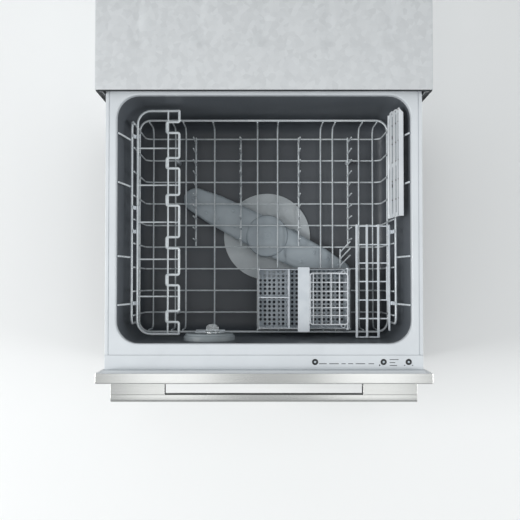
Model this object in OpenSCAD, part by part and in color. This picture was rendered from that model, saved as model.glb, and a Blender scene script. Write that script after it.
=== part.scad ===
// A built-in dishwasher with one drawer, standing in its steel chassis and pulled fully open.
// Millimetres. X runs across the front, Y runs from the handle to the back, Z is up from the floor.

/* [Chassis] */
// Outer width of the steel chassis
chassis_w = 598; // [590:1:700]
// Depth of the chassis from its front edge to its rear edge
chassis_d = 549; // [520:1:620]
// Height of the top sheet above the floor
chassis_h = 409; // [400:1:460]
// Thickness of the steel sheet
sheet_t = 1.2; // [0.8:0.1:1.6]
// Height of the chassis underside above the floor
base_z = 12; // [10:1:16]
// How far the back sheet is set in, so that the fittings on it stay inside the depth
back_inset = 14; // [12:1:16]
// How far a levelling foot can be screwed out
foot_travel = 15; // [5:1:18]

/* [Drawer front] */
// How far the stainless front is set in from each side of the chassis
door_side = 1.5; // [0.5:0.1:5]
// Height of the lower edge of the front
door_bottom = 14; // [10:1:20]
// How far the upper edge of the front stays below the top sheet
door_drop = 3; // [2:0.5:6]
// Depth of the folded stainless pan
door_t = 18.2; // [14:0.1:24]
// Thickness of the liner that stands behind the pan
liner_t = 4.2; // [4:0.1:8]
// How far the handle is set in from each side of the front
handle_side = 19.5; // [4:0.5:60]
// How far the handle stands in front of the pan
handle_reach = 38.5; // [32:0.5:50]
// How far the top face of the handle is below the front's upper edge
handle_drop = 47; // [30:1:120]
// Distance of the finger opening from each end of the handle
grip_side = 98; // [60:1:150]
// Depth of the grip bar from front to back
bar_d = 14; // [10:1:16]
// Height of the grip bar
bar_h = 24; // [18:1:40]

/* [Tub] */
// Space between the light rim and each side of the chassis
rim_space = 13; // [12:0.5:14]
// How far the rim and the control strip are below the top sheet
rim_drop = 33; // [31:1:37]
// Height of the rim moulding
rim_h = 12; // [8:1:16]
// Width of the rim behind the tub opening
rim_back = 20; // [16:1:24]
// Width of the rim at each side of the tub opening
rim_side = 20; // [18:1:23]
// Space behind the closed drawer's rim
rear_space = 20.8; // [20:0.1:40]
// Inside corner radius of the tub, seen from above
tub_r = 40; // [20:1:60]
// Distance from the back of the front panel to the inside of the tub's front wall
tub_front = 46.4; // [40:0.1:50]
// Height of the tub floor
tub_floor = 92; // [88:1:98]
// Wall thickness of the mouldings
wall = 2.5; // [2:0.1:2.8]
// Depth of the control strip along the front edge of the rim
strip_d = 25.7; // [20:0.1:28]
// Height of the control strip moulding
strip_h = 30; // [24:1:36]

/* [Buttons] */
// Diameter of a button
button_d = 10.4; // [8:0.1:12]
// Distances of the three buttons from the right end of the strip
button_in = [194.2, 71.3, 26.3];
// How far a button is pressed
button_travel = 0.6; // [0.3:0.1:1]

/* [Travel] */
// How much of its depth the open drawer keeps in the chassis
drawer_stay = 54; // [54:1:149]
// How far the inner lid drops onto the rim
lid_drop = 7.7; // [5:0.1:7.7]
// How far the rack lifts before it is tilted out over the dispenser
rack_lift = 36; // [10:1:36]

/* [Runners] */
// Space between the runners and the back sheet
runner_space = 29.8; // [24:0.1:110]
// Height of the runner
runner_h = 45; // [36:1:50]
// Height of the runner's lower edge above the floor
runner_z = 100; // [96:1:140]
// Thickness of the runner steel
runner_t = 2; // [1.5:0.1:2.2]

/* [Wash system] */
// Place of the spray arm's axis across the tub
spray_x = 8; // [-10:1:12]
// How far the spray arm's axis is in front of the tub's middle
spray_ahead = 16.7; // [6.7:0.1:20.7]
// Space between the spinning arm and the tub's front wall
spray_space = 12.6; // [9:0.1:50]
// Radius of the spray arm's hub
hub_r = 44; // [36:1:50]
// Width of a spray wing
wing_w = 72; // [40:1:76]
// Direction of the first wing, seen from above
wing_angle = -27; // [-60:1:60]
// Radius of the sump under the filter
sump_r = 75; // [72:1:80]
// Depth of the sump below the tub floor
sump_deep = 31.5; // [30:0.5:33]
// Radius of the filter plate
filter_r = 92; // [88:1:110]

/* [Rack] */
// Space between the rack's upright wires and each side of the tub
rack_side = 20.15; // [20:0.05:28]
// Space between the rack's front wires and the tub
rack_ahead = 14.6; // [13.6:0.1:17.6]
// Space between the rack's rear wires and the tub
rack_behind = 16; // [9:0.5:23]
// Height of the rack's floor wires above the tub's floor
rack_rise = 38; // [36:1:44]
// How far the rack's middle rail is below the rim
rail_drop = 176; // [174:1:206]
// How far the rack's side rails are below the rim
side_rail_drop = 76; // [71:1:78]
// Radius of a floor wire
wire_r = 1.6; // [1.3:0.1:1.8]
// Radius of a rail
rail_r = 2.2; // [1.8:0.1:2.4]
// Height of a tine above its hinge wire
tine_h = 72; // [50:1:75]

/* [Cup racks] */
// Width of the left cup rack from its hinge
left_cup_w = 79.9; // [60:0.1:80]
// How far the left cup rack is below the rim
left_cup_drop = 86; // [84:1:90]
// Width of the right front cup rack from its hinge
right_cup_w = 64; // [50:1:64]
// How far the right cup racks are below the rim
right_cup_drop = 96; // [92:1:98]
// Height of the folded slatted rack
slat_rack_w = 75; // [60:1:78]
// Lean of the folded slatted rack from upright
slat_lean = 6; // [3:0.5:6]

/* [Cutlery basket] */
// Space between the basket's right side and the rack's upright wires
basket_side = 76.15; // [70:0.05:84]
// Width of the basket
basket_w = 181.4; // [178:0.1:182]
// Space between the basket's front wall and the rack's front wires
basket_ahead = 3.5; // [3:0.1:5]
// Depth of the basket
basket_d = 119.5; // [100:0.5:121]
// How far the basket's upper edge is below the rim
basket_drop = 121; // [120:1:146]
// How far the basket's handle stands above its upper edge
basket_handle_rise = 30; // [20:1:45]

/* [Hidden] */
$fn = 48;

fit = 0.3;             // running clearance between pieces that move past each other
weld = 0.05;           // gap left between wires that are welded where they cross
eps = 1;               // how far a cut runs past the face it opens

// Places that follow from the sizes
door_gap = 2;          // closed drawer front to chassis
front_reach = liner_t + door_t + handle_reach;
drawer_travel = chassis_d - drawer_stay;
chassis_y = (front_reach + drawer_travel + door_gap - chassis_d) / 2;
drawer_y = chassis_y - door_gap - drawer_travel;
inner_half = chassis_w / 2 - sheet_t;
back_y = chassis_d - back_inset - sheet_t;
tray_t = 1.5;
door_w = chassis_w - 2 * door_side;
door_top = chassis_h - door_drop;
handle_w = door_w - 2 * handle_side;
handle_top = door_top - handle_drop;
grip_w = handle_w - 2 * grip_side;
rim_w = chassis_w - 2 * rim_space;
rim_top = chassis_h - rim_drop;
rim_end = back_y - rear_space + door_gap;
rim_z = rim_top - rim_h;
tub_w = rim_w - 2 * rim_side;
tub_back = rim_end - rim_back;
tub_d = tub_back - tub_front;
tub_out = tub_w / 2 + wall;
sump_z = tub_floor - sump_deep;

// Chassis details
foot_in = 24;          // foot axis from the chassis's front and sides
foot_stud_r = 5;
foot_boss_r = 10;
foot_y = [foot_in, back_y - foot_boss_r - 4];
foot_boss_h = foot_travel + 11;
foot_pad_r = 18;
foot_pad_h = 7;
flange_w = 9;          // front return of each side sheet
trim_t = 1.6;
bracket_drop = [209, 79];
bracket_z = chassis_h * [1, 1] - bracket_drop;
bracket_size = [2, 28, 30];
bracket_hole_r = 2.5;
fitting_z = 60;
fitting_in = [69, 124, 174];    // water inlet, drain and mains inlet, from the left side
inlet_x = -chassis_w / 2 + fitting_in[0];
inlet_r = 13.2;
drain_x = -chassis_w / 2 + fitting_in[1];
drain_r = 9.5;
collar_out = 2.2;      // reach of the fittings' collars behind the back sheet's inner face
collar_r = 2;
power_x = -chassis_w / 2 + fitting_in[2];
power_r = 11;
float_in = 99;
float_space = 63.8;
float_at = [-chassis_w / 2 + float_in, back_y - float_space];
float_r = 16;
post_r = 3;
top_screw_in = 47.8;   // outermost screw of the top sheet from the side sheet
runner_y = 4;
runner_len = back_y - runner_space - runner_y;

// Inner lid and its drive
lid_y = 24;
lid_space = 24.8;
lid_len = back_y - lid_space - lid_y;
lid_seal_h = 5;
lid_z = rim_top + fit + lid_drop;
lid_plate_z = lid_z + lid_seal_h;
lid_plate_t = 3;
lid_top = chassis_h - sheet_t - 4;
ear_out = 4;
ear_x = rim_w / 2 + ear_out;
ear_in = [70, 79];
ear_y = [ear_in[0], chassis_d - ear_in[1]];
ear_r = 5.5;
guide_r = 3;
pinion_in = 61;
pinion_x = rim_w / 2 - pinion_in;
pinion_r = 8;
pinion_drop = 22;
pinion_z = lid_plate_z - pinion_drop;
pinion_t = 6;
pinion_y = lid_y + lid_len + 5;
rack_bar_w = 8;
motor_y = pinion_y + pinion_t + 1;

// Front panel, handle and strip
pan_t = 1;
handle_t = 3;
grip_back = 4;
handle_y = -liner_t - door_t;
rib_in = [127, 31];
rib_x = rim_w / 2 * [1, 1] - rib_in;
rib_w = 12;
rib_z = 110;
rib_foot = 4;
rib_top = rim_top - strip_h;
screw_rise = 40;
screw_drop = 76;
screw_z = [rib_z + screw_rise, rim_top - screw_drop];
screw_r = 2;
screw_head_r = 4;
screw_off = 10.6;
liner_skin = 2.2;
button_y = 13.5;
button_x = rim_w / 2 * [1, 1, 1] - button_in;
board_in = [222, 8];
post_in = [214, 136, 11];
board_z = rib_top + 6;
board_t = 1.6;
switch_h = 3;

// Dispenser and fan on the tub's front wall
rack_z = tub_floor + rack_rise;
rail_z = rim_top - rail_drop;
side_rail_z = rim_top - side_rail_drop;
disp_in = 56;
disp_x = -rib_x[0] + disp_in;
disp_clear = 3.3;       // left between the lifted rack's front rail and the dispenser
disp_r = 48.5;
disp_z = rail_z + rail_r + rack_lift + disp_clear + disp_r;
disp_out = 14;
disp_back = 22;
disp_port = [30, 37, 30];       // half width, reach down and reach up of the tub's opening for it
cup_w = 52;
cup_h = 30;
cup_z = disp_z - 20;
flap_t = 2.4;
cap_x = disp_x + 7;
cap_z = disp_z + 24;
cap_r = 13;
cap_stem_r = 8.7;
fan_x = 80;
fan_drop = 146;
fan_z = rim_top - fan_drop;
fan_r = 42;
fan_front = 12;

// Wash system
spray_y = tub_front + tub_d / 2 - spray_ahead;
spray_r = spray_y - tub_front - spray_space;
jet_share = [0.36, 0.53, 0.7, 0.84];
shaft_r = 4;
stator_r = 52;
stator_h = 34;
rotor_r = 36;
impeller_r = 30;
riser_r = 13;
riser_top = tub_floor + 22;
filter_t = 2.4;
strainer_x = 54;
strainer_r = 16;
spray_z = 110;
spray_h = 11;
wing_h = 8;
heater_w = 26;
module_size = [120, 100, 55];
module_in = 66;
module_at = [-tub_w / 2 + module_in, 60];

// Rack details
rack_half = tub_w / 2 - rack_side;
rack_front = tub_front + rack_ahead;
rack_back = tub_back - rack_behind;
cross_in = [32.8, 22];
floor_pitch = (rack_back - cross_in[1] - rack_front - cross_in[0]) / 8;
rack_cross = [for (i = [0 : 8]) rack_front + cross_in[0] + i * floor_pitch];
long_share = [-0.93553, -0.74842, -0.65894, -0.41489, -0.04881, 0.12203, 0.4881, 0.58979, 0.8135, 0.93146];
rack_long = [for (f = long_share) f * rack_half];
long_z = rack_z + 2 * wire_r + weld;
hinge_wire_r = 1.8;
tine_r = 1.5;
tine_z = rack_z + wire_r + fit + hinge_wire_r;
tine_pitch = floor_pitch / 2;
tine_count = 10;
tine_share = [-0.57352, -0.19117, 0.301, 0.71995, 0.65487];
tine_x = [for (f = tine_share) f * rack_half];
side_rail_x = rack_half + wire_r + weld + rail_r;
arm_share = [0.13, 0.3415, 0.6625, 0.8753];
arm_y = [for (f = arm_share) rack_front + f * (rack_back - rack_front)];
arm_r = 1.9;
arm_top = rim_top - 6;
arm_gap = 0.5;           // left between an arm's upper end and the tub
rail_in = [19, 4];
rack_foot_x = rack_half - 65.85;
foot_wire_at = [[-rack_foot_x, 0], [rack_foot_x, 0], [-rack_foot_x, 7], [rack_foot_x, 7]];
rack_foot_r = 5;
clip_y = [for (i = [0.5, 3.5, 4.5, 7.5]) rack_cross[0] + i * floor_pitch];
cup_in = 5.35;
left_cup_x = -rack_half + cup_in;
right_cup_x = rack_half - cup_in;
left_cup_z = rim_top - left_cup_drop;
right_cup_z = rim_top - right_cup_drop;
front_cup_y = [rack_front - 12.5, rack_cross[3] + 37];
rear_cup_y = [rack_cross[3] + 48, rack_back - 2];
cup_corner = 15;         // how far the hinge wires stay out of the tub's round corners
cup_wire_r = 1.6;
hinge_r = 2.2;
slat_lip = 7.5;          // width of the lip along the slatted rack's edge
clip_leg = 1.4;
basket_x = rack_half - basket_side - basket_w;
basket_y = rack_front + basket_ahead;
basket_top = rim_top - basket_drop;
basket_handle_z = basket_top + basket_handle_rise;
basket_z = long_z + wire_r + 0.6;
short_pitch = 14;
short_y = basket_y + basket_d + 8;
short_lean = 24;
short_h = 42;
short_back = 20;         // how far the short row's tines slant to the rear
tine_y = short_y + 52;
basket_wall = 2.2;
basket_cell = [61.5, 62.1];
basket_split_x = basket_x + basket_cell.x;
basket_split_y = basket_y + basket_cell.y;
handle_in = [77.1, 99.4];
handle_x = basket_x * [1, 1] + handle_in;
lid_x = [handle_x[1] + 1.6, basket_x + basket_w - 1.6];
lid_hinge_x = lid_x[1] - 5;
lid_pin_r = 1.2;
lug_r = 3.2;
lug_t = basket_wall;

// ---------- shapes that several parts use ----------

// A box between two corners.
module box(lo, hi) { translate(lo) cube(hi - lo); }

// The children moved into the chassis's or the drawer's own frame.
module in_chassis() { translate([0, chassis_y, 0]) children(); }
module in_drawer() { translate([0, drawer_y, 0]) children(); }

// A round rod from one point to another.
module rod(a, b, r) {
    v = b - a;
    translate(a) rotate([0, acos(v.z / norm(v)), atan2(v.y, v.x)]) cylinder(r = r, h = norm(v));
}

// A rectangle with round corners, from x = -w/2 to w/2 and from y0 to y1.
module rounded(w, y0, y1, r) {
    box2([-w / 2 + r, y0], [w / 2 - r, y1]);
    box2([-w / 2, y0 + r], [w / 2, y1 - r]);
    for (x = [-1, 1], y = [y0 + r, y1 - r]) translate([x * (w / 2 - r), y]) circle(r = r);
}
module box2(lo, hi) { translate(lo) square(hi - lo); }

// A straight profile along X: the children are drawn in the Y-Z plane.
module along_x(x0, x1) {
    translate([x0, 0, 0]) rotate([90, 0, 90]) linear_extrude(height = x1 - x0) children();
}

// A straight profile along Y: the children are drawn in the X-Z plane.
module along_y(y0, y1) {
    translate([0, y1, 0]) rotate([90, 0, 0]) linear_extrude(height = y1 - y0) children();
}

// A cylinder along Y.
module pin_y(x, y0, y1, z, r) { translate([x, y0, z]) rotate([-90, 0, 0]) cylinder(r = r, h = y1 - y0); }

// A cylinder along X.
module pin_x(x0, x1, y, z, r) { translate([x0, y, z]) rotate([0, 90, 0]) cylinder(r = r, h = x1 - x0); }

// ---------- chassis ----------

module side_panel(side) {
    color("#c9cccc") in_chassis() difference() {
        union() {
            box([side > 0 ? inner_half : -chassis_w / 2, 0, base_z],
                [side > 0 ? chassis_w / 2 : -inner_half, chassis_d, chassis_h]);
            box([side > 0 ? inner_half - flange_w : -inner_half - eps, 0, base_z],
                [side > 0 ? inner_half + eps : -inner_half + flange_w, sheet_t, lid_z]);
        }
        box([side > 0 ? inner_half - flange_w - eps : -inner_half, -eps, runner_z - 4],
            [side > 0 ? inner_half : -inner_half + flange_w + eps, sheet_t + eps, runner_z + runner_h + 4]);
        for (z = bracket_z)
            pin_x(side > 0 ? inner_half - eps : -chassis_w / 2 - eps,
                side > 0 ? chassis_w / 2 + eps : -inner_half + eps, bracket_y, z + bracket_size.z / 2,
                bracket_hole_r);
    }
}
bracket_y = 6 + bracket_size.y / 2;
module side_panel_left() { side_panel(-1); }
module side_panel_right() { side_panel(1); }

module top_panel() {
    color("#d3d6d6") in_chassis() {
        box([-inner_half, 0, chassis_h - sheet_t], [inner_half, chassis_d, chassis_h]);
        for (x = [-ear_x, ear_x], y = ear_y)
            translate([x, y, lid_plate_z - lid_drop - 1])
                cylinder(r = guide_r, h = chassis_h - lid_plate_z + lid_drop + 1 - sheet_t / 2);
    }
}

module back_panel() {
    color("#c4c7c7") in_chassis() difference() {
        box([-inner_half, back_y, base_z], [inner_half, back_y + sheet_t, chassis_h - sheet_t]);
        pin_y(inlet_x, back_y - eps, back_y + sheet_t + eps, fitting_z, inlet_r + collar_r + 0.2);
        pin_y(drain_x, back_y - eps, back_y + sheet_t + eps, fitting_z, drain_r + collar_r + 0.2);
        pin_y(power_x, back_y - eps, back_y + sheet_t + eps, fitting_z, power_r + 0.2);
    }
}

module base_tray() {
    foot_x = chassis_w / 2 - foot_in;
    color("#3a3d3f") in_chassis() difference() {
        union() {
            difference() {
                box([-inner_half, sheet_t, base_z], [inner_half, back_y, base_z + 18]);
                box([-inner_half + tray_t, sheet_t + tray_t, base_z + tray_t],
                    [inner_half - tray_t, back_y - tray_t, base_z + 18 + eps]);
                box([-inner_half + flange_w + fit, 0, base_z + 8],
                    [inner_half - flange_w - fit, 10, base_z + 19]);
            }
            for (x = [-foot_x, foot_x], y = foot_y)
                translate([x, y, base_z]) cylinder(r = foot_boss_r, h = foot_boss_h);
            translate([float_at.x, float_at.y, base_z]) cylinder(r = post_r, h = 34);
        }
        for (x = [-foot_x, foot_x], y = foot_y)
            translate([x, y, base_z - eps]) cylinder(r = foot_stud_r + 0.2, h = foot_boss_h + 2 * eps);
    }
}

module front_trim() {
    trim_x = chassis_w / 2 - 0.6;
    trim_w = 3.6;
    color("#2a2c2e") in_chassis() {
        for (x = [-trim_x, trim_x - trim_w])
            box([x, -trim_t, 30], [x + trim_w, 0, chassis_h - 4]);
        box([-trim_x + trim_w, -trim_t, chassis_h - 8], [trim_x - trim_w, 0, chassis_h - 4]);
        box([-trim_x + trim_w, 0, chassis_h - 8], [trim_x - trim_w, 6, chassis_h - 8 + 2]);
    }
}

module fixing_brackets() {
    color("#b9bcbc") in_chassis() for (side = [-1, 1], z = bracket_z) difference() {
        x0 = side > 0 ? inner_half - bracket_size.x : -inner_half;
        box([x0, bracket_y - bracket_size.y / 2, z],
            [x0 + bracket_size.x, bracket_y + bracket_size.y / 2, z + bracket_size.z]);
        pin_x(x0 - eps, x0 + bracket_size.x + eps, bracket_y, z + bracket_size.z / 2, bracket_hole_r);
    }
}

// Runner members, drawn for the right side: c_x is the closed side of a channel.
runner_out = inner_half;
runner_mid = (tub_out + inner_half) / 2;
channel_d = 12;
mid_half_h = runner_h / 2 - runner_t - fit;
mid_wing = 9;

module cabinet_profile() {
    box2([runner_out - runner_t, runner_z], [runner_out, runner_z + runner_h]);
    box2([runner_out - channel_d, runner_z], [runner_out - runner_t / 2, runner_z + runner_t]);
    box2([runner_out - channel_d, runner_z + runner_h - runner_t],
        [runner_out - runner_t / 2, runner_z + runner_h]);
}

module middle_profile() {
    z = runner_z + runner_h / 2;
    box2([runner_mid - runner_t / 2, z - mid_half_h], [runner_mid + runner_t / 2, z + mid_half_h]);
    box2([runner_mid - mid_wing, z - mid_half_h], [runner_mid + mid_wing, z - mid_half_h + runner_t]);
    box2([runner_mid - mid_wing, z + mid_half_h - runner_t], [runner_mid + mid_wing, z + mid_half_h]);
}

module drawer_profile() {
    z = runner_z + runner_h / 2;
    half = mid_half_h - runner_t - fit;
    box2([tub_out, z - half], [tub_out + runner_t, z + half]);
    for (s = [-1, 1])
        box2([tub_out, z + s * half - (s > 0 ? runner_t : 0)],
            [runner_mid - runner_t / 2 - fit, z + s * half + (s > 0 ? 0 : runner_t)]);
}

module both_sides() {
    children();
    mirror([1, 0, 0]) children();
}

module runner_cabinet() {
    color("#aeb2b4") in_chassis() both_sides() along_y(runner_y, runner_y + runner_len) cabinet_profile();
}
module runner_middle() {
    color("#b6babc") in_chassis() both_sides()
        along_y(runner_y - drawer_travel / 2, runner_y + runner_len - drawer_travel / 2) middle_profile();
}
module runner_drawer() {
    color("#bec2c4") in_drawer() both_sides()
        along_y(runner_y + door_gap, runner_y + door_gap + runner_len) drawer_profile();
}

module inlet_valve() {
    color("#e6e8e8") in_chassis() difference() {
        union() {
            box([inlet_x - 18, back_y - 26, fitting_z - 18], [inlet_x + 18, back_y, fitting_z + 18]);
            pin_y(inlet_x, back_y - eps, back_y + collar_out, fitting_z, inlet_r + collar_r);
            pin_y(inlet_x, back_y + collar_out - eps, chassis_d, fitting_z, inlet_r);
        }
        pin_y(inlet_x, back_y, chassis_d + eps, fitting_z, inlet_r - 4);
    }
}

module drain_spigot() {
    color("#35383a") in_chassis() difference() {
        union() {
            pin_y(drain_x, back_y - 5, back_y, fitting_z, drain_r + 6);
            pin_y(drain_x, back_y - 24, back_y - 4, fitting_z, drain_r + 1);
            pin_y(drain_x, back_y - eps, back_y + collar_out, fitting_z, drain_r + collar_r);
            pin_y(drain_x, back_y + collar_out - eps, chassis_d, fitting_z, drain_r);
        }
        pin_y(drain_x, back_y - 24 - eps, chassis_d + eps, fitting_z, drain_r - 2.5);
    }
}

module power_inlet() {
    color("#2b2d2f") in_chassis() difference() {
        union() {
            box([power_x - 16, back_y - 14, fitting_z - 16], [power_x + 16, back_y, fitting_z + 16]);
            pin_y(power_x, back_y - eps, chassis_d - 4, fitting_z, power_r);
        }
        pin_y(power_x, back_y, chassis_d, fitting_z, power_r - 5);
    }
}

module lid_motors() {
    color("#4a4d50") in_chassis() for (x = [-pinion_x, pinion_x]) {
        pin_y(x, motor_y, back_y, pinion_z, 14);
        pin_y(x, pinion_y, motor_y + eps, pinion_z, 2.5);
    }
}

module chassis_screws() {
    far = inner_half - top_screw_in;
    color("#8d9193") in_chassis() for (x = [-far : far / 2 : far]) {
        translate([x, 12, chassis_h - sheet_t - 1.8]) cylinder(r = 3.2, h = 1.8);
        translate([x, chassis_d - 6, chassis_h - sheet_t - 1.8]) cylinder(r = 3.2, h = 1.8);
    }
}

module foot(x_side, y_side) {
    x = x_side * (chassis_w / 2 - foot_in);
    y = foot_y[y_side > 0 ? 1 : 0];
    color("#2c2e30") in_chassis() translate([x, y, 0]) {
        cylinder(r = foot_pad_r, h = foot_pad_h);
        cylinder(r = foot_stud_r, h = base_z + foot_boss_h - 2);
    }
}
module foot_front_left() { foot(-1, -1); }
module foot_front_right() { foot(1, -1); }
module foot_rear_left() { foot(-1, 1); }
module foot_rear_right() { foot(1, 1); }

module flood_float() {
    color("#e9e4d2") in_chassis() translate([float_at.x, float_at.y, base_z + tray_t + fit]) difference() {
        cylinder(r = float_r, h = 20);
        translate([0, 0, -eps]) cylinder(r = post_r + fit, h = 20 + 2 * eps);
    }
}

// ---------- inner lid ----------

module lid() {
    half = rim_w / 2;
    cell = [(2 * half - 4) / 3, (lid_len - 4) / 2];    // pitch of the pockets between the ribs
    color("#d9dcdd") in_chassis() {
        difference() {
            union() {
                box([-half, lid_y, lid_plate_z], [half, lid_y + lid_len, lid_top]);
                for (x = [-ear_x, ear_x], y = ear_y)
                    translate([x, y, lid_plate_z]) cylinder(r = ear_r, h = 8);
            }
            for (ix = [0 : 2], iy = [0 : 1])
                box([-half + 4 + ix * cell.x, lid_y + 4 + iy * cell.y, lid_plate_z + lid_plate_t],
                    [-half + (ix + 1) * cell.x, lid_y + (iy + 1) * cell.y, lid_top + eps]);
            for (x = [-ear_x, ear_x], y = ear_y)
                translate([x, y, lid_plate_z - eps]) cylinder(r = guide_r + fit, h = 20);
        }
        for (side = [-1, 1]) lid_rack(side);
    }
}

// The toothed bar that a pinion drives: it hangs from the lid's rear edge.
module lid_rack(side) {
    x = side * (pinion_x - pinion_r - rack_bar_w / 2 - fit);
    difference() {
        union() {
            box([x - rack_bar_w / 2, pinion_y, pinion_z - 14],
                [x + rack_bar_w / 2, pinion_y + pinion_t, lid_top]);
            box([x - rack_bar_w, lid_y + lid_len - eps, lid_plate_z],
                [x + rack_bar_w, pinion_y + eps, lid_top]);
        }
        for (i = [0 : 6])
            pin_y(x + side * rack_bar_w / 2, pinion_y - eps, pinion_y + pinion_t + eps,
                pinion_z - 11 + i * 4, 1.2);
    }
}

module lid_seal() {
    y0 = tub_front - door_gap - 14;
    y1 = tub_back - door_gap + 12;
    color("#4a4d50") in_chassis() translate([0, 0, lid_z]) linear_extrude(height = lid_seal_h) difference() {
        rounded(tub_w + 26, y0, y1, tub_r);
        rounded(tub_w + 8, y0 + 9, y1 - 9, tub_r - 9);
    }
}

module lid_pinion(side) {
    color("#e2e0d8") in_chassis() difference() {
        pin_y(side * pinion_x, pinion_y, pinion_y + pinion_t, pinion_z, pinion_r);
        pin_y(side * pinion_x, pinion_y - eps, pinion_y + pinion_t + eps, pinion_z, 2.5 + fit);
        for (a = [0 : 30 : 330])
            translate([side * pinion_x + pinion_r * cos(a), pinion_y - eps, pinion_z + pinion_r * sin(a)])
                rotate([-90, 0, 0]) cylinder(r = 1.2, h = pinion_t + 2 * eps);
    }
}
module lid_pinion_left() { lid_pinion(-1); }
module lid_pinion_right() { lid_pinion(1); }

// ---------- drawer: tub, rim and control strip ----------

module tub() {
    color("#33373a") in_drawer() difference() {
        union() {
            translate([0, 0, tub_floor - wall]) linear_extrude(height = rim_z - tub_floor + wall)
                rounded(2 * tub_out, tub_front - wall, tub_back + wall, tub_r + wall);
            translate([spray_x, spray_y, sump_z - wall]) cylinder(r = sump_r + wall, h = sump_deep);
            for (x = rib_x, s = [-1, 1]) {
                box([s * x - rib_w / 2, 0, rib_z], [s * x + rib_w / 2, tub_front + tub_r / 2, rib_top]);
                for (z = screw_z)
                    box([s * x - rib_w - 3, 0, z - 12], [s * x + rib_w + 3, rib_foot, z + 12]);
            }
        }
        translate([0, 0, tub_floor]) linear_extrude(height = rim_z)
            rounded(tub_w, tub_front, tub_back, tub_r);
        translate([spray_x, spray_y, sump_z]) cylinder(r = sump_r, h = sump_deep + eps);
        translate([spray_x, spray_y, sump_z - wall - eps]) cylinder(r = shaft_r + fit, h = wall + 2 * eps);
        box([disp_x - disp_port[0], tub_front - wall - eps, disp_z - disp_port[1]],
            [disp_x + disp_port[0], tub_front + eps, disp_z + disp_port[2]]);
        for (x = rib_x, s = [-1, 1], z = screw_z)
            pin_y(s * (x + screw_off), -eps, rib_foot + eps, z, screw_r + 0.1);
    }
}

module tub_rim() {
    y0 = strip_d;
    half = rim_w / 2;
    r = 12;
    color("#ccd2d6") in_drawer() difference() {
        translate([0, 0, rim_z]) linear_extrude(height = rim_h) rim_outline(half, y0, rim_end, r);
        translate([0, 0, rim_z - eps]) linear_extrude(height = rim_h + 2 * eps)
            rounded(tub_w, tub_front, tub_back, tub_r);
        translate([0, 0, rim_z - eps]) linear_extrude(height = rim_h - wall + eps) difference() {
            rim_outline(half - wall, y0 + wall, rim_end - wall, r - wall);
            rounded(tub_w + 4 * wall, tub_front - 2 * wall, tub_back + 2 * wall, tub_r + 2 * wall);
        }
        translate([0, 0, rim_top - 1.2]) linear_extrude(height = 1.2 + eps) difference() {
            rim_outline(half - 6, y0 - 2, rim_end - 6, r - 6);
            rim_outline(half - 7.6, y0 - 3, rim_end - 7.6, r - 7.6);
        }
    }
}

// The rim from above: square at the control strip, round at the two rear corners.
module rim_outline(half, y0, y1, r) {
    box2([-half, y0], [half, y1 - r]);
    box2([-half + r, y0], [half - r, y1]);
    for (x = [-half + r, half - r]) translate([x, y1 - r]) circle(r = r);
}

module control_strip() {
    half = rim_w / 2;
    color("#cfd5d9") in_drawer() difference() {
        box([-half, 0, rib_top], [half, strip_d, rim_top]);
        box([-half + wall, wall, rib_top - eps], [half - wall, strip_d - wall, rim_top - wall]);
        for (x = button_x) translate([x, button_y, rim_top - wall - eps])
            cylinder(r = button_d / 2 + 0.2, h = wall + 2 * eps);
    }
}

// A push button: its cap stands in the strip, a flange holds it from below, its stem meets the switch.
module button(i) {
    stem_z = board_z + board_t + switch_h + button_travel + 0.2;
    color("#2b2d2f") in_drawer() translate([button_x[i], button_y, 0]) {
        translate([0, 0, rim_top - wall - fit - 2]) cylinder(r = button_d / 2 + 1.2, h = 2);
        translate([0, 0, rim_top - wall - fit - eps]) cylinder(r = button_d / 2, h = wall + fit + eps + 0.5);
        translate([0, 0, stem_z]) cylinder(r = 2, h = rim_top - wall - fit - eps - stem_z);
    }
}
module power_button() { button(0); }
module start_button() { button(1); }
module lock_button() { button(2); }

module button_board() {
    right = rim_w / 2;
    color("#2f6b4a") in_drawer() {
        box([right - board_in[0], 4.5, board_z], [right - board_in[1], 20, board_z + board_t]);
        for (x = button_x)
            box([x - 3, button_y - 3, board_z + board_t / 2],
                [x + 3, button_y + 3, board_z + board_t + switch_h]);
        for (inset = post_in)
            translate([right - inset, button_y, board_z + board_t / 2])
                cylinder(r = 2, h = rim_top - wall - board_z - board_t / 2);
    }
}

module control_module() {
    top = tub_floor - wall;
    lo = [module_at.x, module_at.y, top - module_size.z];
    color("#3f4245") in_drawer() difference() {
        box(lo, [lo.x + module_size.x, lo.y + module_size.y, top]);
        box(lo + [wall, wall, wall], [lo.x + module_size.x - wall, lo.y + module_size.y - wall, top - wall]);
    }
}

// ---------- drawer front ----------

module door_panel() {
    color("#c8c9c8") in_drawer() difference() {
        box([-door_w / 2, handle_y, door_bottom], [door_w / 2, -liner_t, door_top]);
        box([-door_w / 2 + pan_t, handle_y + pan_t, door_bottom + pan_t],
            [door_w / 2 - pan_t, -liner_t + eps, door_top - pan_t]);
    }
}

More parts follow.
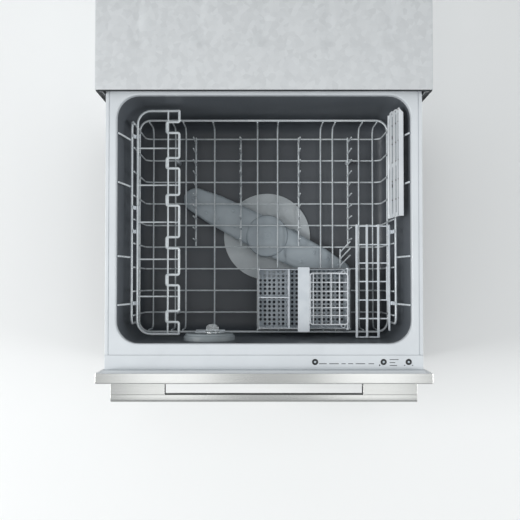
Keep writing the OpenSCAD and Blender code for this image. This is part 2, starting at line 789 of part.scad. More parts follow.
// The liner closes the pan, and its raised back has chamfered edges.
module door_liner() {
    half = door_w / 2 - pan_t - 0.2;
    pad = 15;
    z0 = door_bottom + pad;
    z1 = door_top - 4;
    color("#a9adaf") in_drawer() difference() {
        union() {
            box([-half, -liner_t - 3, door_bottom + pan_t + 0.2], [half, -liner_t, door_top - pan_t - 0.2]);
            intersection() {
                along_x(-half, half) polygon([[-liner_t - eps, z0 - liner_t], [-liner_t, z0 - liner_t],
                    [0, z0], [0, z1 - liner_t], [-liner_t, z1], [-liner_t - eps, z1]]);
                linear_extrude(height = door_top) polygon([[-half + 9, -liner_t - eps], [-half + 9, -liner_t],
                    [-half + 9 + liner_t, 0], [half - 9 - liner_t, 0], [half - 9, -liner_t],
                    [half - 9, -liner_t - eps]]);
            }
        }
        box([-half + 24, -liner_t - 4, z0 + 14], [half - 24, -liner_skin, z1 - 20]);
        for (x = rib_x, s = [-1, 1], z = screw_z)
            pin_y(s * (x + screw_off), -liner_t - 3 - eps, eps, z, screw_r + 0.1);
    }
}

module door_handle() {
    r = 4;
    y_bar = handle_y - handle_reach;
    color("#d4d5d4") in_drawer() {
        difference() {
            union() {
                box([-handle_w / 2, y_bar + r, handle_top - handle_t], [handle_w / 2, handle_y, handle_top]);
                along_x(-handle_w / 2, handle_w / 2) {
                    box2([y_bar, handle_top - bar_h + r], [y_bar + bar_d, handle_top - r]);
                    box2([y_bar + r, handle_top - bar_h], [y_bar + bar_d, handle_top]);
                    for (z = [handle_top - bar_h + r, handle_top - r])
                        translate([y_bar + r, z]) circle(r = r);
                }
                for (x = [-handle_w / 2, handle_w / 2 - 5])
                    box([x, y_bar + r, handle_top - bar_h], [x + 5, handle_y, handle_top]);
            }
            box([-grip_w / 2, y_bar + bar_d, handle_top - handle_t - eps],
                [grip_w / 2, handle_y - grip_back, handle_top + eps]);
        }
    }
}

module door_screws() {
    color("#9a9ea0") in_drawer() for (x = rib_x, s = [-1, 1], z = screw_z) {
        pin_y(s * (x + screw_off), -liner_t - 2.5, rib_foot + eps, z, screw_r);
        pin_y(s * (x + screw_off), rib_foot, rib_foot + 2.6, z, screw_head_r);
    }
}

// ---------- dispenser and drying fan ----------

module dispenser_body() {
    out = tub_front + disp_out;
    color("#d5d9dc") in_drawer() difference() {
        union() {
            pin_y(disp_x, tub_front, out - 4, disp_z, disp_r);
            pin_y(disp_x, tub_front, out, disp_z, disp_r - 4);
            box([disp_x - disp_port[0] + fit, disp_back, disp_z - disp_port[1] + fit],
                [disp_x + disp_port[0] - fit, tub_front + eps, disp_z + disp_port[2] - fit]);
        }
        box([disp_x - cup_w / 2, out - 22, cup_z - cup_h / 2],
            [disp_x + cup_w / 2, out + eps, cup_z + cup_h / 2]);
        pin_y(cap_x, out - 10, out + eps, cap_z, cap_stem_r + fit);
    }
}

module dispenser_door() {
    out = tub_front + disp_out;
    hinge_z = cup_z - cup_h / 2 - 3;
    color("#c2c8cc") in_drawer() {
        box([disp_x - cup_w / 2 - 2, out + fit, hinge_z],
            [disp_x + cup_w / 2 + 2, out + fit + flap_t, cup_z + cup_h / 2 + 3]);
        pin_x(disp_x - cup_w / 2 - 2, disp_x + cup_w / 2 + 2, out + fit + flap_t / 2 + 0.6, hinge_z,
            flap_t / 2 + 0.6);
    }
}

module rinse_cap() {
    out = tub_front + disp_out;
    color("#e8eef2") in_drawer() {
        pin_y(cap_x, out + fit, out + 5, cap_z, cap_r);
        pin_y(cap_x, out - 8, out + fit + eps, cap_z, cap_stem_r);
        box([cap_x - cap_r + 1, out + 5 - eps, cap_z - 2], [cap_x + cap_r - 1, out + 18, cap_z + 2]);
    }
}

module fan_housing() {
    y1 = tub_front - wall;
    color("#4a4e51") in_drawer() {
        difference() {
            pin_y(fan_x, fan_front, y1, fan_z, fan_r);
            pin_y(fan_x, fan_front + 2, y1 - 2, fan_z, fan_r - 2);
            pin_y(fan_x, fan_front - eps, fan_front + 2 + eps, fan_z, 16);
        }
        pin_y(fan_x, fan_front + 8, y1 - 1, fan_z, 2.5);
    }
}

module fan_wheel() {
    y0 = fan_front + 7;
    y1 = tub_front - wall - 5;
    color("#22262a") in_drawer() difference() {
        union() {
            pin_y(fan_x, y0, y1, fan_z, 8);
            pin_y(fan_x, y1 - 2, y1, fan_z, fan_r - 6);
            for (a = [0 : 45 : 315])
                translate([fan_x, 0, fan_z]) rotate([0, a, 0]) box([6, y0, -0.8], [fan_r - 6, y1 - 1, 0.8]);
        }
        pin_y(fan_x, y0 - eps, y1 + eps, fan_z, 2.5 + fit);
    }
}

// ---------- wash system ----------

module motor_stator() {
    z1 = sump_z - wall;
    color("#54585b") in_drawer() translate([spray_x, spray_y, 0]) difference() {
        translate([0, 0, z1 - stator_h]) cylinder(r = stator_r, h = stator_h);
        translate([0, 0, z1 - stator_h + 3]) cylinder(r = rotor_r + 2, h = stator_h - 6);
        translate([0, 0, z1 - 3 - eps]) cylinder(r = shaft_r + fit, h = 3 + 2 * eps);
    }
}

module motor_rotor() {
    z0 = sump_z - wall - stator_h + 5;
    color("#6d7174") in_drawer() translate([spray_x, spray_y, z0]) {
        cylinder(r = rotor_r, h = stator_h - 10);
        cylinder(r = shaft_r, h = stator_h + 20);
    }
}

module wash_impeller() {
    z0 = sump_z + 3;
    color("#3c6f96") in_drawer() translate([spray_x, spray_y, z0]) difference() {
        union() {
            cylinder(r = impeller_r, h = 2);
            cylinder(r = 9, h = 14);
            for (a = [0 : 60 : 300]) rotate([0, 0, a]) box([8, -1, 1], [impeller_r, 1, 12]);
        }
        translate([0, 0, -eps]) cylinder(r = shaft_r + weld, h = 14 + 2 * eps);
    }
}

module heater_plate() {
    color("#9b9fa1") in_drawer() translate([spray_x, spray_y, tub_floor - wall - 5]) difference() {
        cylinder(r = sump_r + wall + weld + heater_w, h = 5);
        translate([0, 0, -eps]) cylinder(r = sump_r + wall + weld, h = 5 + 2 * eps);
    }
}

module filter_plate() {
    color("#9aa4ac") in_drawer() translate([spray_x, spray_y, tub_floor]) difference() {
        union() {
            cylinder(r = filter_r, h = filter_t);
            cylinder(r = riser_r, h = riser_top - tub_floor);
        }
        translate([0, 0, -eps]) cylinder(r = riser_r - 4, h = 40);
        translate([strainer_x, 0, -eps]) cylinder(r = strainer_r + fit, h = filter_t + 2 * eps);
        for (a = [60 : 12 : 300]) rotate([0, 0, a])
            box([riser_r + 8, -1.2, -eps], [sump_r - 4, 1.2, filter_t + eps]);
    }
}

module drain_filter() {
    z0 = sump_z + 4;
    color("#7d868d") in_drawer() translate([spray_x + strainer_x, spray_y, z0]) {
        difference() {
            cylinder(r = strainer_r, h = tub_floor + filter_t - z0);
            translate([0, 0, 2]) cylinder(r = strainer_r - 2, h = 60);
        }
        box([-strainer_r + 1, -1, tub_floor - z0 - 8], [strainer_r - 1, 1, tub_floor + filter_t - z0 + 4]);
    }
}

module spray_arm() {
    color("#a7b0b8") in_drawer() translate([spray_x, spray_y, spray_z]) difference() {
        union() {
            cylinder(r = hub_r, h = spray_h);
            for (turn = [0, 180]) rotate([0, 0, wing_angle + turn]) linear_extrude(height = wing_h) {
                box2([0, -wing_w / 2 + 10], [spray_r - 26, wing_w / 2 - 10]);
                translate([spray_r - 26, 0]) circle(r = 26);
                polygon([[20, -wing_w / 2], [spray_r - 70, -wing_w / 2 + 4], [spray_r - 26, -26],
                    [spray_r - 26, 26], [spray_r - 70, wing_w / 2 - 4], [20, wing_w / 2]]);
            }
        }
        translate([0, 0, -eps]) cylinder(r = riser_r + fit, h = riser_top - spray_z + fit + eps);
        for (turn = [0, 180]) rotate([0, 0, wing_angle + turn]) for (share = jet_share)
            translate([share * spray_r, 14, wing_h - 3]) cylinder(r = 2, h = 3 + eps);
    }
}

// ---------- rack ----------

// Four rails, the side arms, the feet and the clips that hold the cup racks' hinge wires.
module rack_rails() {
    lower_x = rack_half + wire_r + weld + rail_r;
    front = rack_front - wire_r - weld - rail_r;
    back = rack_back + wire_r + weld + rail_r;
    color("#c6cdd3") in_drawer() {
        for (y = [front, back]) rod([-rack_half + 14, y, rail_z], [rack_half - 14, y, rail_z], rail_r);
        for (x = [-lower_x, lower_x]) {
            for (z = [rail_z, side_rail_z])
                rod([x, rack_front + rail_in[0], z], [x, rack_cross[8] + rail_in[1], z], rail_r);
        }
        for (s = [-1, 1], y = arm_y) {
            x0 = side_rail_x + rail_r + arm_r + 0.2;
            rod([s * x0, y, side_rail_z - 8], [s * (tub_w / 2 - arm_gap - arm_r), y, arm_top], arm_r);
        }
        for (p = foot_wire_at)
            translate([p.x, rack_cross[p.y], tub_floor + weld])
                cylinder(r = rack_foot_r, h = rack_z - wire_r - weld - tub_floor - weld);
        for (y = clip_y) {
            clip(-1, left_cup_x, left_cup_z, y);
            clip(1, right_cup_x, right_cup_z, y);
        }
    }
}

// A plastic clip: its leg lies against the side rail and its cradle carries the hinge wire.
module clip(side, x, z, y) {
    edge = side * (side_rail_x - rail_r - weld);
    leg = edge - side * clip_leg;
    inner = x - side * 5;
    color("#dfe3e6") difference() {
        union() {
            box([min(edge, inner), y - 3.5, z - 5], [max(edge, inner), y + 3.5, z + 2]);
            box([min(edge, leg), y - 3.5, z - 5], [max(edge, leg), y + 3.5, side_rail_z + 3]);
        }
        pin_y(x, y - 3.5 - eps, y + 3.5 + eps, z, hinge_r + fit);
    }
}

module rack_wires() {
    top = side_rail_z + rail_r;
    color("#c0c8ce") in_drawer() {
        for (y = rack_cross) {
            rod([-rack_half - wire_r, y, rack_z], [rack_half + wire_r, y, rack_z], wire_r);
            for (x = [-rack_half, rack_half])
                rod([x, y, rack_z + wire_r + weld], [x, y, top], wire_r);
        }
        for (x = rack_long) {
            rod([x, rack_front - wire_r, long_z], [x, rack_back + wire_r, long_z], wire_r);
            for (y = [rack_front, rack_back])
                rod([x, y, long_z + wire_r + weld], [x, y, rail_z + rail_r], wire_r);
        }
    }
}

// A row of plate tines on its hinge wire. lean tips the tines to the right.
module tine_row(x, y0, count, pitch, lean = 0, high = tine_h, slant = 0, end = 12) {
    color("#c9d0d6") in_drawer() translate([x, 0, tine_z]) rotate([0, lean, 0]) {
        rod([0, y0 - end, 0], [0, y0 + (count - 1) * pitch + end, 0], hinge_wire_r);
        for (i = [0 : count - 1])
            rod([0, y0 + i * pitch, hinge_wire_r + weld], [0, y0 + i * pitch + slant, high], tine_r);
    }
}
module tines_left_outer() { tine_row(tine_x[0], tine_y, tine_count, tine_pitch); }
module tines_left_inner() { tine_row(tine_x[1], tine_y, tine_count, tine_pitch); }
module tines_right_inner() { tine_row(tine_x[2], tine_y, tine_count, tine_pitch); }
module tines_right_outer() { tine_row(tine_x[3], tine_y, tine_count, tine_pitch); }
module tines_right_front() {
    tine_row(tine_x[4], short_y, 3, short_pitch, short_lean, short_h, short_back, 6);
}

module cup_rack_left() {
    y0 = rack_front - 4.5;
    y1 = rack_back + 6.5;
    x1 = left_cup_x + left_cup_w;
    color("#ccd2d8") in_drawer() translate([0, 0, left_cup_z]) {
        rod([left_cup_x, y0 + cup_corner, 0], [left_cup_x, y1 - cup_corner, 0], hinge_r);
        for (x = [x1 - 22.9, x1]) rod([x, y0, 0], [x, y1, 0], hinge_r);
        for (i = [0 : 6]) {
            y = y0 + 2 + i * (y1 - y0 - 4) / 6;
            z = -cup_wire_r - hinge_r - weld;
            x0 = i == 0 || i == 6 ? left_cup_x + cup_corner : left_cup_x - 2;
            rod([x0, y, z], [x1 + 2, y, z], cup_wire_r);
        }
    }
}

module cup_rack_front() {
    y0 = front_cup_y[0];
    y1 = front_cup_y[1];
    color("#ccd2d8") in_drawer() translate([0, 0, right_cup_z]) {
        for (x = right_cup_w * [0, 0.33, 0.67, 1])
            rod([right_cup_x - x, x > 0 ? y0 : y0 + cup_corner, 0], [right_cup_x - x, y1, 0], hinge_r);
        for (i = [0 : 6]) {
            y = y0 + 3 + i * (y1 - y0 - 6) / 6;
            z = -cup_wire_r - hinge_r - weld;
            x1 = right_cup_x + (i > 0 ? 2 : 2 - right_cup_w * 0.33);
            rod([right_cup_x - right_cup_w - 2, y, z], [x1, y, z], cup_wire_r);
        }
    }
}

// The slatted rack, folded up against the wall: its hinge wire, three slats, three ribs and a lip.
module cup_rack_rear() {
    y0 = rear_cup_y[0];
    y1 = rear_cup_y[1];
    hole_pitch = (y1 - y0 - 58) / 4;
    foot = 6;
    gap = 4.5;
    slat = (slat_rack_w - foot - 2 * gap - 0.9) / 3;
    lip_end = y1;
    color("#d5dbe0") in_drawer() translate([right_cup_x, 0, right_cup_z]) rotate([0, slat_lean, 0]) {
        rod([0, y0, 0], [0, y1, 0], hinge_r);
        difference() {
            union() {
                for (i = [0 : 2]) {
                    z = foot + i * (slat + gap);
                    box([-1.2, y0, z], [1.2, lip_end + 3 - 1.5 * i, z + slat]);
                }
                for (y = [y0, (y0 + y1) / 2 - 4, y1 - 8])
                    box([-0.9, y, hinge_r + 0.2], [0.9, y + 8, slat_rack_w - 1]);
                translate([0, 0, slat_rack_w - 2.4]) linear_extrude(2.4)
                    polygon([[-1.2, y0], [slat_lip, y0], [slat_lip, lip_end - 9], [-1.2, lip_end]]);
            }
            for (i = [1, 2], j = [0 : 4])
                translate([-2, y0 + 33 + j * hole_pitch, foot + i * (slat + gap) - gap / 2])
                    rotate([0, 90, 0])
                        cylinder(r = 3, h = 4);
        }
    }
}

// ---------- cutlery basket ----------

module cutlery_basket() {
    x1 = basket_x + basket_w;
    y1 = basket_y + basket_d;
    w = basket_wall;
    color("#c3cad2") in_drawer() {
        difference() {
            box([basket_x, basket_y, basket_z], [x1, y1, basket_top]);
            for (b = [[basket_x + w, basket_y + w, basket_split_x - w / 2, basket_split_y - w / 2],
                    [basket_x + w, basket_split_y + w / 2, basket_split_x - w / 2, y1 - w],
                    [basket_split_x + w / 2, basket_y + w, handle_x[1] - w / 2, y1 - w],
                    [handle_x[1] + w / 2, basket_y + w, x1 - w, y1 - w]])
                box([b[0], b[1], basket_z + w], [b[2], b[3], basket_top + eps]);
            for (x = [basket_x + 9 : 11 : x1 - 9], row = [0, 1])
                if (abs(x - basket_split_x) > 5 && abs(x - handle_x[1]) > 5)
                    box([x - 2.5, basket_y + 6 + row * (basket_split_y - basket_y), basket_z - eps],
                        [x + 2.5, basket_split_y - 6 + row * (y1 - basket_split_y), basket_z + w + eps]);
        }
        for (y = [basket_y, y1 - 3])
            box([handle_x[0], y, basket_top - 2], [handle_x[1] - w, y + 3, basket_handle_z - 1]);
        box([handle_x[0], basket_y - 3, basket_handle_z - 3], [handle_x[1], y1 + 1, basket_handle_z]);
        for (y = [basket_y, y1 - lug_t])
            translate([lid_hinge_x, y, basket_top + lug_r]) rotate([-90, 0, 0]) basket_hinge_lug();
    }
}

// A lug that carries the lid's hinge wire above the basket's rim.
module basket_hinge_lug() {
    difference() {
        union() {
            cylinder(r = lug_r, h = lug_t);
            box([-lug_r, 0, 0], [lug_r, lug_r + eps, lug_t]);
        }
        translate([0, 0, -eps]) cylinder(r = lid_pin_r + fit, h = lug_t + 2 * eps);
    }
}

// The grid lid over the right compartment, on a hinge wire along its right side.
module basket_lid() {
    y0 = basket_y + 9;
    y1 = basket_y + basket_d - 9;
    z = basket_top + lug_r;
    color("#c9d0d6") in_drawer() {
        difference() {
            box([lid_x[0], y0, z - lid_pin_r], [lid_hinge_x + lid_pin_r, y1, z + lid_pin_r]);
            for (i = [0 : 5], j = [0 : 6]) {
                px = (lid_hinge_x - lid_x[0] - 3) / 6;
                py = (y1 - y0 - 2) / 7;
                box([lid_x[0] + 2 + i * px, y0 + 2 + j * py, z - 2],
                    [lid_x[0] + i * px + px, y0 + j * py + py, z + 2]);
            }
        }
        pin_y(lid_hinge_x, basket_y + 0.5, basket_y + basket_d - 0.5, z, lid_pin_r);
    }
}

side_panel_left();
side_panel_right();
top_panel();
back_panel();
base_tray();
front_trim();
fixing_brackets();
runner_cabinet();
inlet_valve();
drain_spigot();
power_inlet();
lid_motors();
chassis_screws();
foot_front_left();
foot_front_right();
foot_rear_left();
foot_rear_right();
lid();
lid_seal();
lid_pinion_left();
lid_pinion_right();
flood_float();
runner_middle();
runner_drawer();
tub();
tub_rim();
control_strip();
power_button();
start_button();
lock_button();
button_board();
control_module();
door_panel();
door_liner();
door_handle();
door_screws();
motor_stator();
motor_rotor();
wash_impeller();
heater_plate();
filter_plate();
drain_filter();
spray_arm();
dispenser_body();
dispenser_door();
rinse_cap();
fan_housing();
fan_wheel();
rack_rails();
rack_wires();
tines_left_outer();
tines_left_inner();
tines_right_inner();
tines_right_outer();
tines_right_front();
cup_rack_left();
cup_rack_rear();
cup_rack_front();
cutlery_basket();
basket_lid();
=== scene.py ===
"""A built-in dishwasher drawer, pulled open from its steel chassis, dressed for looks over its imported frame.

Sizes are in millimetres in the part's own frames: "chassis" sizes count from the chassis's front edge,
"drawer" sizes from the back of the stainless front, and "tub" sizes from 2 mm behind that. They are moved to
the row frame when a piece is made.
"""

from __future__ import annotations

import logging
import math
from collections.abc import Callable, Iterable, Sequence
from dataclasses import dataclass
from enum import Enum

import bmesh
import bpy
from mathutils import Matrix, Vector


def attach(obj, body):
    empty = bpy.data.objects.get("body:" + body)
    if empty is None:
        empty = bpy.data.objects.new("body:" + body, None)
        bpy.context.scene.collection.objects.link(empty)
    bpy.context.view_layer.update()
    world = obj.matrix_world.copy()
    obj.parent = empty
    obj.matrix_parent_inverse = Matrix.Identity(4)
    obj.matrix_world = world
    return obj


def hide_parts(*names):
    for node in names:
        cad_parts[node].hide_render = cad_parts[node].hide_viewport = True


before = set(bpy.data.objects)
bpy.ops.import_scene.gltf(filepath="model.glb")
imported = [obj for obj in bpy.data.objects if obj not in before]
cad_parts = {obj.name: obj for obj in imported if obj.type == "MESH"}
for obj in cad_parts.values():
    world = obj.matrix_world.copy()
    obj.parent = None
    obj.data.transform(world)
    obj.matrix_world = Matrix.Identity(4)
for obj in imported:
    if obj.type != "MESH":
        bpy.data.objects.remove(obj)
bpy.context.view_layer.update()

log = logging.getLogger("dishwasher_drawer")
MM = 0.001
# Edges that turn by more than this, in degrees, are rounded.
BEVEL_FROM = 35
# Chassis: the four pins that guide the inner lid, and the centres of the two lid pinions.
GUIDES = [(x, y) for x in (-290, 290) for y in (70, 470)]
PINION_X, PINION_Z = 225.0, 367.0
# Drawer: the ribs that carry the front, the heights of their screws and how far the screws stand to the side.
RIBS_X = (-255, -159, 159, 255)
RIB_SCREWS_Z = (150, 300)
RIB_FOOT = 10.6
# Tub: the hinge wires of the cup racks.
CUP_HINGE_X = 240.5
LEFT_CUP_Z, RIGHT_CUP_Z = 290.0, 280.0
CUP_HINGE_R = 2.2
Point = Sequence[float]
Flat = list[tuple[float, float]]
Tree = bpy.types.NodeTree
Socket = bpy.types.NodeSocket


class Place(Enum):
    """The three frames that sizes are given in, as the shift along Y to the row frame, in mm."""

    CHASSIS = 4.45
    DRAWER = -492.55
    TUB = -490.55


# ---------- finishes ----------


def linear(colour: str) -> tuple[float, float, float, float]:
    """Turns an sRGB hex colour into Blender's linear RGBA.

    Args:
        colour: Six hex digits after a hash.

    Returns:
        Linear red, green, blue, and 1 for alpha.
    """
    parts = [int(colour[i : i + 2], 16) / 255 for i in (1, 3, 5)]
    red, green, blue = (p / 12.92 if p <= 0.04045 else ((p + 0.055) / 1.055) ** 2.4 for p in parts)
    return red, green, blue, 1.0


def add_node(
    tree: Tree, kind: str, values: dict | None = None, links: dict | None = None, stops: Sequence = ()
) -> bpy.types.Node:
    """Adds one shader node.

    Args:
        tree: The material's node tree.
        kind: Blender's name of the node type.
        values: Property or input names, and what they are set to.
        links: Input names, and the output sockets that feed them.
        stops: Positions and hex colours, for a colour ramp.

    Returns:
        The new node.
    """
    made = tree.nodes.new(kind)
    for key, value in (values or {}).items():
        if hasattr(made, key):
            setattr(made, key, value)
        else:
            made.inputs[key].default_value = value
    for key, socket in (links or {}).items():
        tree.links.new(socket, made.inputs[key])
    for i, (position, colour) in enumerate(stops):
        ramp = made.color_ramp.elements
        stop = ramp[i] if i < len(ramp) else ramp.new(position)
        stop.position = position
        stop.color = linear(colour)
    return made


@dataclass(frozen=True)
class Finish:
    """What every finish has: its slot in the record and the shader's even values."""

    name: str
    slot: str
    colour: str
    shade: str
    roughness: float
    metallic: float = 0.0
    ior: float = 1.5
    coat: float = 0.0

    def material(self) -> bpy.types.Material:
        """Builds the material once.

        Returns:
            The material, the same one at every call.
        """
        known = bpy.data.materials.get(self.name)
        if known:
            return known
        made = bpy.data.materials.new(self.name)
        made.use_nodes = True
        made.diffuse_color = linear(self.colour)
        shader = made.node_tree.nodes["Principled BSDF"]
        shader.inputs["Base Color"].default_value = linear(self.colour)
        shader.inputs["Roughness"].default_value = self.roughness
        shader.inputs["Metallic"].default_value = self.metallic
        if not self.metallic:
            shader.inputs["IOR"].default_value = self.ior
        shader.inputs["Coat Weight"].default_value = self.coat
        self.dress(made.node_tree, shader)
        return made

    def dress(self, tree: Tree, shader: bpy.types.Node) -> None:
        """Adds this finish's pattern; each kind of finish has its own."""

    @staticmethod
    def noise(tree: Tree, scale: float, detail: float, vector: Socket | None = None, **more: float) -> Socket:
        """A noise pattern.

        Args:
            tree: The material's node tree.
            scale: Waves per metre.
            detail: Octaves of noise.
            vector: What it is laid on, instead of the object's own coordinates.
            **more: Other inputs of the noise node.

        Returns:
            The pattern's output.
        """
        spot = add_node(tree, "ShaderNodeTexCoord").outputs["Object"] if vector is None else vector
        values = {"Scale": scale, "Detail": detail, **more}
        return add_node(tree, "ShaderNodeTexNoise", values, {"Vector": spot}).outputs["Fac"]

    @staticmethod
    def mix(tree: Tree, share: float, a: Socket, b: Socket) -> Socket:
        """Mixes a share of pattern b into pattern a."""
        values = {"data_type": "FLOAT", "Factor": share}
        return add_node(tree, "ShaderNodeMix", values, {"A": a, "B": b}).outputs["Result"]

    def paint(self, tree: Tree, shader: bpy.types.Node, pattern: Socket, low: float, high: float) -> None:
        """Colours the surface from the darker shade at low to the full colour at high of a pattern."""
        stops = [(low, self.shade), (high, self.colour)]
        tint = add_node(tree, "ShaderNodeValToRGB", {}, {"Fac": pattern}, stops)
        tree.links.new(tint.outputs["Color"], shader.inputs["Base Color"])

    def polish(self, tree: Tree, shader: bpy.types.Node, pattern: Socket, low: float, high: float) -> None:
        """Varies the roughness along a pattern, from low to high times its value."""
        values = {"To Min": self.roughness * low, "To Max": self.roughness * high}
        gloss = add_node(tree, "ShaderNodeMapRange", values, {"Value": pattern})
        tree.links.new(gloss.outputs["Result"], shader.inputs["Roughness"])

    @staticmethod
    def emboss(tree: Tree, shader: bpy.types.Node, pattern: Socket, strength: float, deep_mm: float) -> None:
        """Raises a pattern from the surface."""
        values = {"Strength": strength, "Distance": deep_mm * MM}
        bump = add_node(tree, "ShaderNodeBump", values, {"Height": pattern})
        tree.links.new(bump.outputs["Normal"], shader.inputs["Normal"])


@dataclass(frozen=True)
class Moulded(Finish):
    """An injection moulding: a fine spark-eroded grain, slow flow marks and slightly uneven gloss."""

    grain_mm: float = 1.4
    grain_depth_mm: float = 0.03
    flow_mm: float = 70.0

    def dress(self, tree: Tree, shader: bpy.types.Node) -> None:
        """Grain in the bump and the gloss, flow marks in the colour."""
        # The mould's grain is near 0.1 mm; it is drawn coarser so that it shows in the render.
        grain = self.noise(tree, 1 / (self.grain_mm * MM), 3.0)
        flow = self.noise(tree, 1 / (self.flow_mm * MM), 4.0, Distortion=0.6)
        self.paint(tree, shader, flow, 0.36, 0.62)
        self.polish(tree, shader, grain, 0.82, 1.18)
        self.emboss(tree, shader, grain, 0.35, self.grain_depth_mm)


@dataclass(frozen=True)
class Brushed(Finish):
    """Sheet metal ground with a belt: fine lines along one axis, with highlights drawn out across them."""

    line_mm: float = 0.5
    run_mm: float = 120.0
    along: str = "X"
    anisotropy: float = 0.6

    def dress(self, tree: Tree, shader: bpy.types.Node) -> None:
        """Lines in the colour, gloss and bump, and a soft cloud that a wiped surface has."""
        spot = add_node(tree, "ShaderNodeTexCoord").outputs["Object"]
        stretch = [1 / (self.line_mm * MM)] * 3
        stretch["XYZ".index(self.along)] = 1 / (self.run_mm * MM)
        # Belt lines are 0.05 mm apart; they are drawn at half a millimetre so that they show.
        laid = add_node(tree, "ShaderNodeMapping", {"Scale": stretch}, {"Vector": spot}).outputs["Vector"]
        lines = self.noise(tree, 1.0, 3.0, laid)
        mixed = self.mix(tree, 0.3, lines, self.noise(tree, 9.0, 3.0))
        self.paint(tree, shader, mixed, 0.38, 0.6)
        self.polish(tree, shader, mixed, 0.75, 1.3)
        self.emboss(tree, shader, lines, 0.08, 0.015)
        tangent = add_node(tree, "ShaderNodeTangent", {"direction_type": "RADIAL", "axis": self.along})
        shader.inputs["Anisotropic"].default_value = self.anisotropy
        tree.links.new(tangent.outputs["Tangent"], shader.inputs["Tangent"])


@dataclass(frozen=True)
class Galvanised(Finish):
    """Zinc-dipped sheet: flat crystals, each a little lighter or darker, and a soft dull shine."""

    spangle_mm: float = 9.0

    def dress(self, tree: Tree, shader: bpy.types.Node) -> None:
        """Crystals in the colour and gloss, and handling scuffs over them."""
        spot = add_node(tree, "ShaderNodeTexCoord").outputs["Object"]
        values = {"Scale": 1 / (self.spangle_mm * MM), "Randomness": 1.0}
        crystal = add_node(tree, "ShaderNodeTexVoronoi", values, {"Vector": spot}).outputs["Color"]
        grey = add_node(tree, "ShaderNodeRGBToBW", {}, {"Color": crystal}).outputs["Val"]
        self.paint(tree, shader, self.mix(tree, 0.45, grey, self.noise(tree, 30.0, 6.0)), 0.3, 0.7)
        self.polish(tree, shader, grey, 0.85, 1.15)


@dataclass(frozen=True)
class Clear(Finish):
    """Clear moulded plastic: light passes through it, and its faint ripple bends what is behind."""

    def dress(self, tree: Tree, shader: bpy.types.Node) -> None:
        """Transmission on the shader, and a ripple 8 mm long in the bump."""
        shader.inputs["Transmission Weight"].default_value = 0.85
        ripple = self.noise(tree, 125.0, 2.0)
        self.paint(tree, shader, ripple, 0.3, 0.7)
        self.emboss(tree, shader, ripple, 0.2, 0.1)


# Galvanised steel sheet, folded: pale and dull, with a barely seen crystal pattern.
ZINC = Galvanised("galvanised_sheet", "zinc_steel", "#dcdfe1", "#d3d6d8", 0.45, metallic=0.45)
# The same sheet on the small stamped brackets, brighter from the press.
BRACKET = Galvanised("pressed_zinc", "zinc_steel", "#cdd1d3", "#bdc2c4", 0.35, metallic=0.9, spangle_mm=4.0)
# Stainless steel 304, belt-ground along its length: grey with long soft highlights.
STAINLESS = Brushed("stainless_belt_ground", "stainless", "#dddedc", "#d2d3d1", 0.22, metallic=1.0)
# The handle is ground finer and polished a little, so it mirrors more.
HANDLE = Brushed(
    "stainless_fine_ground", "handle_metal", "#d2d3d1", "#c8c9c7", 0.22, metallic=1.0, line_mm=0.4
)
# Cold-rolled runner steel, drawn through rollers: lines along the travel.
RUNNER = Brushed("rolled_runner_steel", "runner_steel", "#c2c5c7", "#9fa4a7", 0.34, metallic=1.0, along="Y")
# Glass-filled polypropylene, moulded: charcoal, half matt, with faint flow marks.
TUB = Moulded(
    "glass_filled_polypropylene", "tub_plastic", "#5a5f65", "#54595f", 0.4, ior=1.49, flow_mm=160.0
)
# ABS, moulded and lightly grained: cool pale grey with an even satin gloss.
RIM = Moulded("satin_abs", "rim_plastic", "#d8dde1", "#d3d8dc", 0.34, ior=1.53, coat=0.1)
# Polypropylene for racks and basket: pale blue-grey, waxy.
LIGHT = Moulded(
    "natural_polypropylene", "light_plastic", "#dde3e8", "#d2d9df", 0.38, ior=1.49, flow_mm=30.0
)
# Filled polypropylene of the spray arm: mid blue-grey with visible flow.
SPRAY = Moulded(
    "talc_filled_polypropylene", "spray_plastic", "#bcc6cc", "#b0bac1", 0.4, ior=1.49, flow_mm=45.0
)
# The same filled polypropylene, paler, of the filter disc.
FILTER = Moulded(
    "pale_filled_polypropylene", "spray_plastic", "#dde3e6", "#d3dadd", 0.42, ior=1.49, flow_mm=45.0
)
# The dispenser's polypropylene: mid grey and half matt.
DISPENSER = Moulded(
    "grey_filled_polypropylene", "spray_plastic", "#8f979b", "#858d91", 0.45, ior=1.49, flow_mm=45.0
)
# Nylon dip coating over steel wire: smooth, slightly glossy, thicker and thinner along the wire.
COATED = Moulded(
    "nylon_dipped_wire",
    "coated_wire",
    "#e4eaed",
    "#d5dce0",
    0.28,
    ior=1.53,
    coat=0.25,
    grain_mm=6.0,
    flow_mm=25.0,
)
# Black ABS of trims, feet and fittings.
DARK = Moulded("black_abs", "dark_plastic", "#26282b", "#1d1f21", 0.45, ior=1.53)
# Screen-printed ink: flat dark grey lines on the strip.
INK = Moulded("printed_ink", "dark_plastic", "#3a3f43", "#2f3336", 0.6, ior=1.5, grain_depth_mm=0.01)
# EPDM seal, extruded: black and dull with a waxy bloom.
RUBBER = Moulded("extruded_epdm", "seal_rubber", "#3b3e41", "#2e3133", 0.62, ior=1.52, grain_mm=2.2)
# Polypropylene of the slatted rack and the grid lid: nearly white, waxy.
SLATTED = Moulded(
    "white_polypropylene", "light_plastic", "#f3f7fa", "#ebf0f4", 0.36, ior=1.49, flow_mm=60.0
)
# Painted shade: a grey, matt copy of the racks' polypropylene, laid in the channels between the slats for the
# shadow that lies there, as little light reaches it.
GROOVE_SHADE = Moulded(
    "groove_painted_shade", "light_plastic", "#a9b1b5", "#9fa7ab", 0.55, ior=1.49, flow_mm=30.0
)
# Acetal gears and the white thread fitting.
NYLON = Moulded("white_acetal", "nylon", "#e3e2dc", "#d6d4cc", 0.34, ior=1.48)
